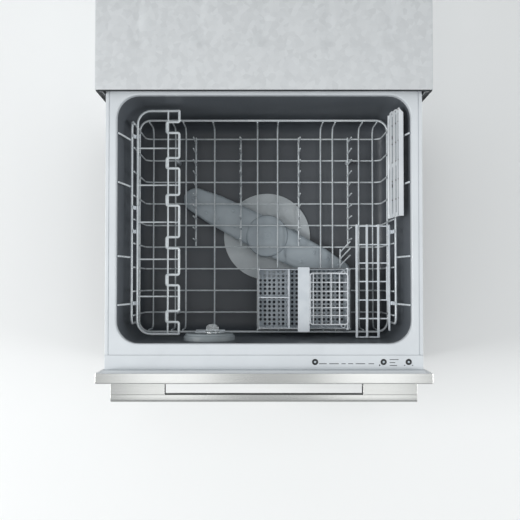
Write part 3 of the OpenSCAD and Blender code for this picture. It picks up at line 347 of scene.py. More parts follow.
# Expanded foam float: off-white beads 3 mm across.
FOAM = Moulded(
    "expanded_bead_foam", "float_foam", "#ebe6d6", "#d9d2be", 0.8, ior=1.45, grain_mm=3.0, grain_depth_mm=0.4
)
# Glass-epoxy board with green solder mask.
BOARD = Moulded("green_solder_mask", "board", "#2f6b4a", "#275a3e", 0.3, ior=1.5, coat=0.3, flow_mm=12.0)
# Cast and lacquered motor metal.
MOTOR = Galvanised(
    "lacquered_motor_metal", "motor_metal", "#8d9295", "#6f7477", 0.4, metallic=0.8, spangle_mm=2.0
)
# Clear polycarbonate of the rinse cap.
CLEAR = Clear("clear_polycarbonate", "clear_plastic", "#eef3f5", "#dfe7ea", 0.08, ior=1.58)


# ---------- mesh tools ----------


def bent(corners: Iterable[Point], radius: float, steps: int = 5, loop: bool = False) -> list[Vector]:
    """Rounds the corners of a path, as a wire bender does.

    Args:
        corners: The path's corners in mm.
        radius: Bend radius in mm, made smaller where a leg is too short for it.
        steps: Straight bits in each bend.
        loop: Whether the path closes on itself.

    Returns:
        The points of the rounded path.
    """
    points = [Vector(c) for c in corners]
    path = []
    for i, corner in enumerate(points):
        if not loop and i in (0, len(points) - 1):
            path.append(corner)
            continue
        back = points[i - 1] - corner
        ahead = points[(i + 1) % len(points)] - corner
        half = back.angle(ahead) / 2
        if half > math.pi / 2 - 0.02:
            path.append(corner)
            continue
        cut = min(radius / math.tan(half), 0.48 * min(back.length, ahead.length))
        turn = cut * math.tan(half)
        centre = corner + (back.normalized() + ahead.normalized()).normalized() * (turn / math.sin(half))
        start = corner + back.normalized() * cut - centre
        end = corner + ahead.normalized() * cut - centre
        axis = start.cross(end)
        for k in range(steps + 1):
            path.append(centre + Matrix.Rotation(start.angle(end) * k / steps, 3, axis) @ start)
    return path


def round_rect(
    x: tuple[float, float], y: tuple[float, float], radii: Sequence[float], corner: int = 6, side: int = 6
) -> Flat:
    """The outline of a rectangle with round corners.

    Args:
        x: Lowest and highest x.
        y: Lowest and highest y.
        radii: Corner radii, anticlockwise from low x, low y; one number stands for all four.
        corner: Straight bits in each corner.
        side: Straight bits in each side.

    Returns:
        Points anticlockwise, always the same count for the same corner and side.
    """
    r = list(radii) * (4 if len(radii) == 1 else 1)
    centres = [
        (x[0] + r[0], y[0] + r[0]),
        (x[1] - r[1], y[0] + r[1]),
        (x[1] - r[2], y[1] - r[2]),
        (x[0] + r[3], y[1] - r[3]),
    ]
    arcs = []
    for k, (cx, cy) in enumerate(centres):
        turn = math.pi * (1 + k / 2)
        angles = [turn + math.pi / 2 * j / corner for j in range(corner + 1)]
        arcs.append([(cx + r[k] * math.cos(a), cy + r[k] * math.sin(a)) for a in angles])
    outline = []
    for k, arc in enumerate(arcs):
        outline += arc
        (ax, ay), (bx, by) = arc[-1], arcs[(k + 1) % 4][0]
        outline += [(ax + (bx - ax) * j / side, ay + (by - ay) * j / side) for j in range(1, side)]
    return outline


def inset_rect(
    box: tuple[Point, Point], inset: float, radii: Sequence[float], corner: int = 8, side: int = 10
) -> Flat:
    """The round-cornered outline of a box, given as two spans, moved inwards."""
    (x0, x1), (y0, y1) = box
    return round_rect((x0 + inset, x1 - inset), (y0 + inset, y1 - inset), radii, corner, side)


def circle(x: float, y: float, radius: float, sides: int = 48) -> Flat:
    """Points round a circle, anticlockwise."""
    turns = [math.tau * k / sides for k in range(sides)]
    return [(x + radius * math.cos(a), y + radius * math.sin(a)) for a in turns]


def towards(outline: Iterable[Point], centre: Point, radius: float) -> Flat:
    """The circle points that lie on the lines from a centre to the points of an outline."""
    made = []
    for x, y in outline:
        away = Vector((x - centre[0], y - centre[1])).normalized() * radius
        made.append((centre[0] + away.x, centre[1] + away.y))
    return made


def placed(at: Point, degrees: float, axis: str) -> Matrix:
    """A turn about an axis, then a shift to a point."""
    return Matrix.Translation(at) @ Matrix.Rotation(math.radians(degrees), 4, axis)


def steps_between(lo: float, hi: float, count: int) -> list[float]:
    """count + 1 even steps from lo to hi."""
    return [lo + (hi - lo) * i / count for i in range(count + 1)]


def as_is(u: float, v: float, w: float) -> Point:
    """A lattice's u, v and depth as x, y and z."""
    return u, v, w


class Form:
    """A mesh in the making, in millimetres of one of the part's own frames."""

    def __init__(self) -> None:
        """Starts empty."""
        self.mesh = bmesh.new()

    def loft(self, rings: Sequence[Sequence[Point]], caps: bool = True, loop: bool = False) -> None:
        """Joins rings of points into a skin.

        Args:
            rings: Rings of equal length, in order.
            caps: Whether the first and the last ring are closed.
            loop: Whether the last ring joins the first.
        """
        rows = [[self.mesh.verts.new(p) for p in ring] for ring in rings]
        for a, b in zip(rows, rows[1:] + rows[:1] if loop else rows[1:]):
            for k in range(len(a)):
                m = (k + 1) % len(a)
                self.mesh.faces.new((a[k], a[m], b[m], b[k]))
        if caps and not loop:
            self.mesh.faces.new(rows[0][::-1])
            self.mesh.faces.new(rows[-1])

    def stack(self, levels: Iterable[tuple[Flat, float]], axis: str = "Z", loop: bool = False) -> None:
        """Joins flat outlines that stand across an axis.

        Args:
            levels: Each outline, in the order of the two other axes, and its place along the axis.
            axis: "X", "Y" or "Z".
            loop: Whether the last outline joins the first.
        """
        order = {"X": (2, 0, 1), "Y": (0, 2, 1), "Z": (0, 1, 2)}[axis]
        self.loft([[[(a, b, h)[i] for i in order] for a, b in outline] for outline, h in levels], loop=loop)

    def box(self, lo: Point, hi: Point) -> None:
        """A plain block between two opposite corners, to be bevelled when the piece is made."""
        (x0, x1), (y0, y1), (z0, z1) = (sorted(pair) for pair in zip(lo, hi))
        self.plate([(x0, y0), (x1, y0), (x1, y1), (x0, y1)], (z0, z1))

    def plate(self, outline: Sequence[Point], levels: Sequence[float], axis: str = "Z") -> None:
        """One outline drawn out along an axis, through the places given in levels."""
        self.stack([(outline, level) for level in levels], axis)

    def spin(self, centre: Point, profile: Sequence[Point], axis: str = "Z", sides: int = 48) -> None:
        """A turned solid.

        Args:
            centre: Where the axis stands, in the order of the two other axes.
            profile: Radius and place along the axis, from one end to the other.
            axis: "X", "Y" or "Z".
            sides: Flats round the axis.
        """
        self.stack([(circle(*centre, max(r, 0.02), sides), along) for r, along in profile], axis)

    def pipe(
        self, centre: Point, outer: float, inner: float, span: Point, axis: str = "Z", sides: int = 48
    ) -> None:
        """A ring or short pipe between two places along its axis."""
        rings = [(outer, span[0]), (outer, span[1]), (inner, span[1]), (inner, span[0])]
        self.stack([(circle(*centre, r, sides), along) for r, along in rings], axis, loop=True)

    def border(self, box: tuple[Point, Point], wide: float, corner: float, span: Point) -> None:
        """A flat frame with round corners, lying inside a box given as two spans."""
        rings = [inset_rect(box, 0, [corner], 5, 2), inset_rect(box, wide, [corner - 2], 5, 2)]
        self.stack([(rings[i], span[j]) for i, j in ((0, 0), (0, 1), (1, 1), (1, 0))], loop=True)

    def wire(self, path: Iterable[Point], radius: float, sides: int = 10, loop: bool = False) -> None:
        """A round wire along a path, with dipped round ends.

        Args:
            path: The points of the wire's middle.
            radius: The wire's radius.
            sides: Flats round the wire.
            loop: Whether the wire closes on itself.
        """
        points = [Vector(p) for p in path]
        count = len(points)
        tangents = []
        for i in range(count):
            before = points[i - 1] if loop or i else points[0]
            after = points[(i + 1) % count] if loop or i < count - 1 else points[-1]
            tangents.append((after - before).normalized())
        side = tangents[0].orthogonal().normalized()
        rings = []
        for point, tangent in zip(points, tangents):
            side = (side - tangent * side.dot(tangent)).normalized()
            other = tangent.cross(side)
            rings.append((point, side.copy(), other))
        sections = [(p, s, o, 1.0) for p, s, o in rings]
        if not loop:
            (p0, s0, o0), (p1, s1, o1) = rings[0], rings[-1]
            t0, t1 = tangents[0] * radius, tangents[-1] * radius
            sections[0] = (p0 + t0 * 0.7, s0, o0, 1.0)
            sections[-1] = (p1 - t1 * 0.7, s1, o1, 1.0)
            sections.insert(0, (p0 + t0 * 0.25, s0, o0, 0.8))
            sections.insert(0, (p0, s0, o0, 0.4))
            sections += [(p1 - t1 * 0.25, s1, o1, 0.8), (p1, s1, o1, 0.4)]
        turns = circle(0, 0, 1, sides)
        skin = [[p + (s * a + o * b) * (radius * f) for a, b in turns] for p, s, o, f in sections]
        self.loft(skin, loop=loop)

    def lattice(
        self,
        us: Sequence[float],
        vs: Sequence[float],
        at: Callable[[float, float, float], Point],
        depth: tuple[float, float],
        cell: Callable[[int, int], int] = lambda i, j: 1,
        hole: float = 0.0,
        sides: int = 8,
        wrap: bool = False,
    ) -> None:
        """A plate made of cells, some of them left out or pierced, on any surface.

        Args:
            us: Places of the lines in the first direction.
            vs: Places of the lines in the second direction.
            at: Turns u, v and depth into a point.
            depth: The plate's lower and upper face.
            cell: 0 for an open cell, 1 for a closed one, 2 for one with a round hole.
            hole: Radius of a round hole.
            sides: Flats round a hole, a multiple of 4.
            wrap: Whether the last u line is the first one again.
        """
        nu, nv = len(us) - 1, len(vs) - 1
        known: dict = {}

        def vert(key: tuple, u: float, v: float, level: int) -> bmesh.types.BMVert:
            """The vertex of that key, made when first asked for."""
            if (key, level) not in known:
                known[key, level] = self.mesh.verts.new(at(u, v, depth[level]))
            return known[key, level]

        def filled(i: int, j: int) -> bool:
            """Whether there is material in a cell."""
            if wrap:
                i %= nu
            return 0 <= i < nu and 0 <= j < nv and bool(cell(i, j))

        for i in range(nu):
            for j in range(nv):
                if not filled(i, j):
                    continue
                spots = [(i, j), (i + 1, j), (i + 1, j + 1), (i, j + 1)]
                keys = [((a % nu if wrap else a, b), us[a], vs[b]) for a, b in spots]
                rows = [[vert(*key, level) for key in keys] for level in (0, 1)]
                if cell(i, j) == 2:
                    cu, cv = (us[i] + us[i + 1]) / 2, (vs[j] + vs[j + 1]) / 2
                    rims = [[], []]
                    for m in range(sides):
                        a = math.pi * 1.25 + math.tau * m / sides
                        u, v = cu + hole * math.cos(a), cv + hole * math.sin(a)
                        for level in (0, 1):
                            rims[level].append(vert(("hole", i, j, m), u, v, level))
                    quarter = sides // 4
                    for row, rim in zip(rows, rims):
                        for k in range(4):
                            arc = [rim[(quarter * k + m) % sides] for m in range(quarter, -1, -1)]
                            self.mesh.faces.new([row[k], row[(k + 1) % 4], *arc])
                    for m in range(sides):
                        n = (m + 1) % sides
                        self.mesh.faces.new((rims[0][m], rims[0][n], rims[1][n], rims[1][m]))
                else:
                    for row in rows:
                        self.mesh.faces.new(row)
                for k, (a, b) in enumerate(((i, j - 1), (i + 1, j), (i, j + 1), (i - 1, j))):
                    if not filled(a, b):
                        m = (k + 1) % 4
                        self.mesh.faces.new((rows[0][k], rows[0][m], rows[1][m], rows[1][k]))

    def turn(self, matrix: Matrix) -> None:
        """Moves all that is in the mesh so far."""
        bmesh.ops.transform(self.mesh, matrix=matrix, verts=self.mesh.verts)

    def piece(
        self,
        name: str,
        place: Place,
        body: str,
        finish: Finish,
        nodes: Sequence[str] = (),
        bevel: float = 0.0,
        angle: float = 38.0,
    ) -> bpy.types.Object:
        """Makes the object, dresses it and hands it to the frame.

        Args:
            name: The piece's name.
            place: The frame that its sizes are in.
            body: The body that it rides on.
            finish: Its finish.
            nodes: The CAD nodes that it stands for.
            bevel: How far its sharp edges are rounded, in mm.
            angle: Edges sharper than this, in degrees, stay sharp in the shading.

        Returns:
            The object.
        """
        bmesh.ops.recalc_face_normals(self.mesh, faces=self.mesh.faces)
        self.turn(Matrix.Scale(MM, 4) @ Matrix.Translation((0, place.value, 0)))
        data = bpy.data.meshes.new(name)
        self.mesh.to_mesh(data)
        self.mesh.free()
        for face in data.polygons:
            face.use_smooth = True
        data.set_sharp_from_angle(angle=math.radians(angle))
        made = bpy.data.objects.new(name, data)
        bpy.context.scene.collection.objects.link(made)
        if bevel:
            cut = made.modifiers.new("rounded edges", "BEVEL")
            cut.width = bevel * MM
            cut.segments = 2
            cut.limit_method = "ANGLE"
            cut.angle_limit = math.radians(BEVEL_FROM)
            cut.harden_normals = True
        else:
            made.modifiers.new("flat faces stay flat", "WEIGHTED_NORMAL").keep_sharp = True
        data.materials.append(finish.material())
        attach(made, body)
        if nodes:
            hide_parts(*nodes)
        log.info("piece %s on %s, %s", name, body, finish.name)
        return made


def dress_nodes(finish: Finish, *names: str) -> None:
    """Gives CAD nodes whose shape is right their finish."""
    for name in names:
        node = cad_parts[name]
        node.data.materials.clear()
        node.data.materials.append(finish.material())
        log.info("node %s, %s", name, finish.name)


# ---------- chassis ----------


@dataclass
class Cabinet:
    """The folded steel box that stays in the kitchen: sheets, tray, trim, brackets and feet."""

    half: float = 299.0
    sheet: float = 1.2
    depth: float = 549.0
    back: float = 533.8
    base: float = 12.0
    height: float = 409.0
    flange: float = 9.0
    slide_lip: float = 388.7
    bead: float = 2.2

    def press(self, u: float, v: float, marks: Sequence[tuple[float, float, float, float]]) -> float:
        """How deep the sheet is pressed at a spot.

        Args:
            u: Place along the first direction of the sheet.
            v: Place along the second.
            marks: Round-ended beads, each as start u, start v, end u and end v.

        Returns:
            Depth in mm, 0 off the beads.
        """
        deepest = 0.0
        for u0, v0, u1, v1 in marks:
            run = Vector((u1 - u0, v1 - v0))
            along = max(0.0, min(1.0, Vector((u - u0, v - v0)).dot(run) / run.length_squared))
            away = (Vector((u, v)) - Vector((u0, v0)) - run * along).length
            deepest = max(deepest, self.bead * max(0.0, min(1.0, (11 - away) / 5)))
        return deepest

    def lines(self, lo: float, hi: float, step: float, extra: Iterable[float] = ()) -> list[float]:
        """Grid lines from lo to hi, at most a step apart, with extra ones put in."""
        even = steps_between(lo, hi, math.ceil((hi - lo) / step))
        return sorted(set(even) | {e for e in extra if lo < e < hi})

    def side(self, sign: int) -> None:
        """One side sheet with its pressed beads, screw holes and front flange."""
        holes = [(20, 215), (20, 345)]
        us = self.lines(0, self.depth, 6.2, [y + d for y, _ in holes for d in (-6, 6)])
        vs = self.lines(self.base, self.height - self.sheet, 6.2, [z + d for _, z in holes for d in (-6, 6)])
        beads = [(70, z, 480, z) for z in (60, 190, 250, 310, 370)]

        def at(u: float, v: float, w: float) -> Point:
            """Sheet grid to chassis frame; w counts inwards."""
            return sign * (self.half - w - self.press(u, v, beads)), u, v

        def cell(i: int, j: int) -> int:
            """Leaves the two screw holes open."""
            middle = ((us[i] + us[i + 1]) / 2, (vs[j] + vs[j + 1]) / 2)
            return 0 if any(abs(middle[0] - y) < 2.9 and abs(middle[1] - z) < 2.9 for y, z in holes) else 1

        form = Form()
        form.lattice(us, vs, at, (0.0, self.sheet), cell)
        inner = self.half - self.sheet
        for z0, z1 in ((self.base, 96.0), (149.0, self.slide_lip)):
            form.box((sign * (inner - self.flange), 0, z0), (sign * (inner + 0.3), self.sheet, z1))
        label = "left" if sign < 0 else "right"
        form.piece(f"chassis_side_{label}", Place.CHASSIS, "chassis", ZINC, [f"side_panel_{label}"])

    def top(self) -> None:
        """The top sheet with two long pressed fields, and the four pins that guide the inner lid."""
        inner = self.half - self.sheet
        us = self.lines(-inner, inner, 7)
        vs = self.lines(0, self.depth, 7)
        beads = [(x, 90, x, 470) for x in (-225, -112, 0, 112, 225)]

        def at(u: float, v: float, w: float) -> Point:
            """Sheet grid to chassis frame; w counts downwards."""
            return u, v, self.height - w - self.press(u, v, beads)

        form = Form()
        form.lattice(us, vs, at, (0.0, self.sheet))
        for spot in GUIDES:
            form.spin(spot, [(2.4, 380.2), (3, 381), (3, self.height - 0.8)], sides=24)
        form.piece("chassis_top", Place.CHASSIS, "chassis", ZINC, ["top_panel"])

    def trim(self) -> None:
        """The black gasket round the chassis's mouth: two soft lobes with a channel between them, and flat
        black strips of painted shade over the side flanges.
        """
        x = self.half - 0.6
        lobes = [(-1.6, 0.0), (-1.6, 1.2), (-0.7, 1.8), (-1.6, 2.4), (-1.6, 3.6), (0.0, 3.6), (0.0, 0.0)]
        form = Form()
        for sign in (-1, 1):
            form.plate([(sign * (x - b), a) for a, b in lobes], (30.0, 405.0))
        form.plate([(a, 401.0 + b * 4 / 3.6) for a, b in lobes], (-x + 3.6, x - 3.6), axis="X")
        form.box((-x + 3.6, -0.1, 401), (x - 3.6, 6, 403))
        # Painted shade: flat black strips over the side flanges, where the inside of the chassis's mouth lies
        # in shadow.
        for sign in (-1, 1):
            for z0, z1 in ((30.0, 96.0), (149.0, 388.0)):
                form.box((sign * (x - 3.4), -0.7, z0), (sign * (x - 8.8), 0.1, z1))
        form.piece("mouth_gasket_and_flange_shade", Place.CHASSIS, "chassis", RUBBER, ["front_trim"], bevel=0.3)

    def feet(self) -> None:
        """Four screw feet: a turned pad, a hexagon to turn it by, and a threaded stud."""
        for x_name, x in (("left", -275.0), ("right", 275.0)):
            for y_name, y in (("front", 24.0), ("rear", 519.8)):
                form = Form()
                pad = [(16.2, 0), (18, 1.2), (18, 3.4), (15.5, 5.4), (9.2, 6.2), (9.2, 7)]
                form.spin((x, y), pad, sides=36)
                form.plate(circle(x, y, 9.6, 6), (6.2, 9.6))
                thread = [(5.0 if k % 2 else 4.35, 9.4 + 0.75 * k) for k in range(35)]
                form.spin((x, y), [*thread, (3.6, 36)], sides=20)
                node = f"foot_{y_name}_{x_name}"
                form.piece(f"{node}_screw", Place.CHASSIS, node, DARK, [node], bevel=0.4)

    def screws(self) -> None:
        """Pan-head screws under the top sheet."""
        form = Form()
        for x in range(-250, 251, 125):
            for y in (12.0, 543.0):
                form.spin((x, y), [(0.1, 406.0), (2.0, 406.05), (2.9, 406.6), (3.2, 407.7)], sides=24)
        form.piece("top_sheet_screws", Place.CHASSIS, "chassis", BRACKET, ["chassis_screws"])

    def build(self) -> None:
        """Builds the chassis's pieces and dresses the plain ones."""
        for sign in (-1, 1):
            self.side(sign)
        self.top()
        self.trim()
        self.feet()
        self.screws()
        dress_nodes(ZINC, "back_panel")
        dress_nodes(BRACKET, "fixing_brackets")
        dress_nodes(DARK, "base_tray")
        dress_nodes(FOAM, "flood_float")


@dataclass
class Fittings:
    """Water inlet, drain spigot and power socket on the back sheet."""

    wall: float = 533.8
    end: float = 549.0
    z: float = 60.0

    def build(self) -> None:
        """A threaded inlet, a barbed spigot, and a round socket with three pins."""
        form = Form()
        form.plate(round_rect((-248, -212), (42, 78), [5.0]), (507.8, self.wall), axis="Y")
        y = self.wall
        crests = [(13.2 if k % 2 else 12.0, y + 2.9 + 0.9 * k) for k in range(13)]
        bore = [(9.2, self.end), (9.2, y + 0.4)]
        collar = [(15.2, y - 0.5), (15.2, y + 1.9), (14.8, y + 2.2), (12.2, y + 2.2)]
        form.spin((-230, self.z), [*collar, *crests, (12.0, self.end), *bore], axis="Y")
        form.piece("water_inlet_valve", Place.CHASSIS, "chassis", NYLON, ["inlet_valve"], bevel=0.3, angle=25)
        form = Form()
        form.pipe((-175, self.z), 15.5, 7.0, (528.8, self.wall - 0.01), axis="Y")
        outer = [(10.5, 509.8), (10.5, self.wall), (11.5, self.wall + 0.2), (11.5, self.wall + 2.2)]
        for k in range(4):
            y = self.wall + 3.2 + 2.9 * k
            outer += [(8.2, y), (9.5, y + 0.5), (8.3, y + 2.6)]
        rings = [*outer, (8.2, self.end), (7.0, self.end), (7.0, 509.8)]
        form.stack([(circle(-175, self.z, r), y) for r, y in rings], "Y", loop=True)
        form.piece("drain_hose_spigot", Place.CHASSIS, "chassis", DARK, ["drain_spigot"], bevel=0.2, angle=25)
        form = Form()
        form.plate(round_rect((-141, -109), (44, 76), [4.0]), (519.8, self.wall), axis="Y")
        form.pipe((-125, self.z), 11.0, 8.2, (self.wall - 0.1, 545.0), axis="Y")
        for a in (90, 210, 330):
            spot = (-125 + 4.2 * math.cos(math.radians(a)), self.z + 4.2 * math.sin(math.radians(a)))
            form.spin(spot, [(1.1, self.wall - 0.2), (1.1, 541.0), (0.5, 542.0)], axis="Y", sides=12)
        form.piece("power_socket", Place.CHASSIS, "chassis", DARK, ["power_inlet"], bevel=0.3)


@dataclass
class InnerLid:
    """The lid that drops onto the tub, its hollow seal, and the two motors that lower it."""

    half: float = 286.0
    front: float = 24.0
    rear: float = 509.0
    plate: float = 389.0
    top: float = 403.8

    def seal(self) -> None:
        """A hollow bulb seal that runs round the underside of the lid."""
        x, y0, y1 = 275.0, 34.9, 500.5
        path = bent([(-x, y0, 0), (x, y0, 0), (x, y1, 0), (-x, y1, 0)], 38, 10, loop=True)
        form = Form()
        form.wire([(p.x, p.y, 386.6) for p in path], 2.5, 12, loop=True)
        rings = []
        for i, p in enumerate(path):
            ahead = (path[(i + 1) % len(path)] - path[i - 1]).normalized()
            out = ahead.cross(Vector((0, 0, 1)))
            foot = ((-4, 387.6), (4, 387.6), (4, 389), (-4, 389))
            rings.append([p + out * a + Vector((0, 0, z)) for a, z in foot])
        form.loft(rings, loop=True)
        form.piece("lid_bulb_seal", Place.CHASSIS, "lid", RUBBER, ["lid_seal"], angle=50)

    def lid(self) -> None:
        """The pressed lid tray with its six stiffening fields, ears and toothed bars."""
        third = (2 * self.half - 4) / 3
        xs = [-self.half + k * third + rib for k in range(4) for rib in (0, 4)]
        ys = [self.front, self.front + 4, 264.5, 268.5, self.rear - 4, self.rear]
        form = Form()
        form.lattice(xs, ys, as_is, (self.plate + 2.9, self.top), lambda i, j: int(i % 2 == 0 or j % 2 == 0))
        edge = round_rect((-self.half, self.half), (self.front, self.rear), [6.0])
        form.plate(edge, (self.plate, self.plate + 3))
        for spot in GUIDES:
            form.pipe(spot, 5.5, 3.3, (self.plate, self.plate + 8), sides=24)
        for sign in (-1, 1):
            x = sign * 212.7
            form.box((x - 8, self.rear - 0.5, self.plate), (x + 8, 514.1, self.top))
            teeth = [(x - sign * 4, 353.0), (x - sign * 4, self.top)]
            for k in range(12):
                z = 400.0 - 4.0 * k
                if z > 354:
                    teeth += [(x + sign * 4, z + 1.1), (x + sign * 2.6, z), (x + sign * 4, z - 1.1)]
            teeth.append((x + sign * 4, 353.0))
            form.plate(teeth, (514.0, 520.0), axis="Y")
        form.piece("inner_lid_tray", Place.CHASSIS, "lid", LIGHT, ["lid"], bevel=0.5)

    def drive(self) -> None:
        """Two toothed pinions and their geared motors."""
        for sign, label in ((-1, "left"), (1, "right")):
            form = Form()
            x, z = sign * PINION_X, PINION_Z
            teeth = []
            for k in range(12):
                for da, r in ((-11, 6.8), (-6, 8.0), (6, 8.0), (11, 6.8)):
                    a = math.radians(15 + 30 * k + da)
                    teeth.append((x + r * math.cos(a), z + r * math.sin(a)))
            bore = towards(teeth, (x, z), 2.8)
            form.stack([(teeth, 514.2), (teeth, 519.8), (bore, 519.8), (bore, 514.2)], "Y", loop=True)
            node = f"lid_pinion_{label}"
            form.piece(f"{node}_gear", Place.CHASSIS, node, NYLON, [node], bevel=0.2, angle=20)
        form = Form()
        for x in (-PINION_X, PINION_X):
            form.spin((x, PINION_Z), [(12.6, 521), (14, 522.2), (14, 531), (13, 533.8)], axis="Y", sides=32)
            form.spin((x, PINION_Z), [(2.2, 514), (2.5, 514.4), (2.5, 522)], axis="Y", sides=20)
        form.piece("lid_gear_motors", Place.CHASSIS, "chassis", MOTOR, ["lid_motors"], bevel=0.3)

    def build(self) -> None:
        """Builds the lid, its seal and its drive."""
        self.seal()
        self.lid()
        self.drive()


@dataclass
class Runners:
    """Full-extension runners: three channels a side, with ball cages shown between them."""

    cage_x: float = 288.35
    cage_y: float = 76.5

    def build(self) -> None:
        """Dresses the three members and adds the ball cages."""
        dress_nodes(RUNNER, "runner_cabinet", "runner_middle", "runner_drawer")
        form = Form()
        for sign in (-1, 1):
            for z in (107.0, 138.0):
                x, y = sign * self.cage_x, self.cage_y
                form.box((x - 1.6, y, z - 1.2), (x + 1.6, y + 150, z + 1.2))
        form.piece("runner_ball_cages", Place.CHASSIS, "runner_middle", NYLON, bevel=0.5)


# ---------- drawer: tub, rim, strip ----------


@dataclass
class Tub:
    """The moulded tub: drafted walls, wide corner radii, a curved foot and a round sump."""

    half: float = 266.0
    front: float = 44.4
    rear: float = 493.0
    corner: float = 40.0
    floor: float = 92.0
    top: float = 364.0
    wall: float = 2.5
    draft: float = 3.0
    foot: float = 26.0
    sump: tuple[float, float] = (8.0, 252.0)
    sump_r: float = 75.0
    sump_z: float = 60.5

    def skin(self, grow: float) -> list[tuple[list, float]]:
        """One face of the tub, from the top down to the sump's floor.

        Args:
            grow: 0 for the inner face, the wall thickness for the outer one.

        Returns:
            Outlines of equal length with their heights.
        """

        def ring(inset: float, corner: float) -> Flat:
            """The tub's outline moved inwards."""
            return inset_rect(((-self.half, self.half), (self.front, self.rear)), inset, [corner])

        span = self.top - self.floor - self.foot
        rings = []
        for share in steps_between(0, 1, 3):
            rings.append((ring(self.draft * share - grow, self.corner + grow), self.top - span * share))
        for k in range(1, 7):
            a = math.pi / 2 * k / 6
            inset = self.draft + self.foot * (1 - math.cos(a)) - grow * math.cos(a)
            z = self.floor + self.foot * (1 - math.sin(a)) - grow * math.sin(a)
            rings.append((ring(inset, self.corner - self.foot * 0.1 * k), z))
        last, base, low, r = rings[-1][0], self.floor - grow, self.sump_z - grow, self.sump_r + grow
        step = base if grow else base - 0.6
        for radius, z in (
            (104 + grow, base),
            (102 + grow, step),
            (r + 1.5, step),
            (r, base - 2.0),
            (r, low + 8),
            (r - 8, low),
            (10.0, low),
        ):
            rings.append((towards(last, self.sump, radius), z))
        return rings

    def build(self) -> None:
        """Builds the tub and the ribs that carry the front."""
        form = Form()
        form.stack([*reversed(self.skin(self.wall)), *self.skin(0.0)])
        for x in RIBS_X:
            form.box((x - 6, -1.8, 110), (x + 6, 43.0, 345.8))
            for z in RIB_SCREWS_Z:
                for foot in (x - RIB_FOOT, x + RIB_FOOT):
                    form.box((foot - 4.6, -1.8, z - 12), (foot + 4.6, 2, z + 12))
        form.piece("tub_moulding", Place.TUB, "drawer", TUB, ["tub"], bevel=0.5, angle=45)


@dataclass
class Rim:
    """The pale moulding round the tub's mouth, with its soft inner lip and the channel for the lid's seal."""

    half: float = 286.0
    front: float = 23.7
    rear: float = 513.0
    bottom: float = 364.0
    top: float = 376.0

    def build(self) -> None:
        """Sweeps the rim's section from the inner lip to the outer edge."""
        tub = Tub()
        mouth = ((-tub.half, tub.half), (tub.front, tub.rear))
        rings = [(inset_rect(mouth, 0.0, [40.0]), z) for z in (self.bottom, self.top - 3.2)]
        for k in range(1, 6):
            a = math.pi / 2 * k / 5
            out = 3.2 * (1 - math.cos(a))
            rings.append((inset_rect(mouth, -out, [40 + out]), self.top - 3.2 * (1 - math.sin(a))))
        groove = [(7.8, 0), (7.4, 1.1), (6.2, 1.1), (5.8, 0)]
        edge = [(1.6, 0), (0.5, 0.5), (0, 1.6), (0, self.top - self.bottom)]
        for inset, down in groove + edge:
            x = self.half - inset
            radii = [max(c - inset, 0.4) for c in (0.6, 0.6, 12.0, 12.0)]
            # The front edge, beside the control strip, moves in by half a millimetre at most.
            y = (self.front + min(inset, 0.5), self.rear - inset)
            rings.append((round_rect((-x, x), y, radii, 8, 10), self.top - down))
        form = Form()
        form.stack(rings, loop=True)
        form.piece("rim_moulding", Place.TUB, "drawer", RIM, ["tub_rim"], angle=32)


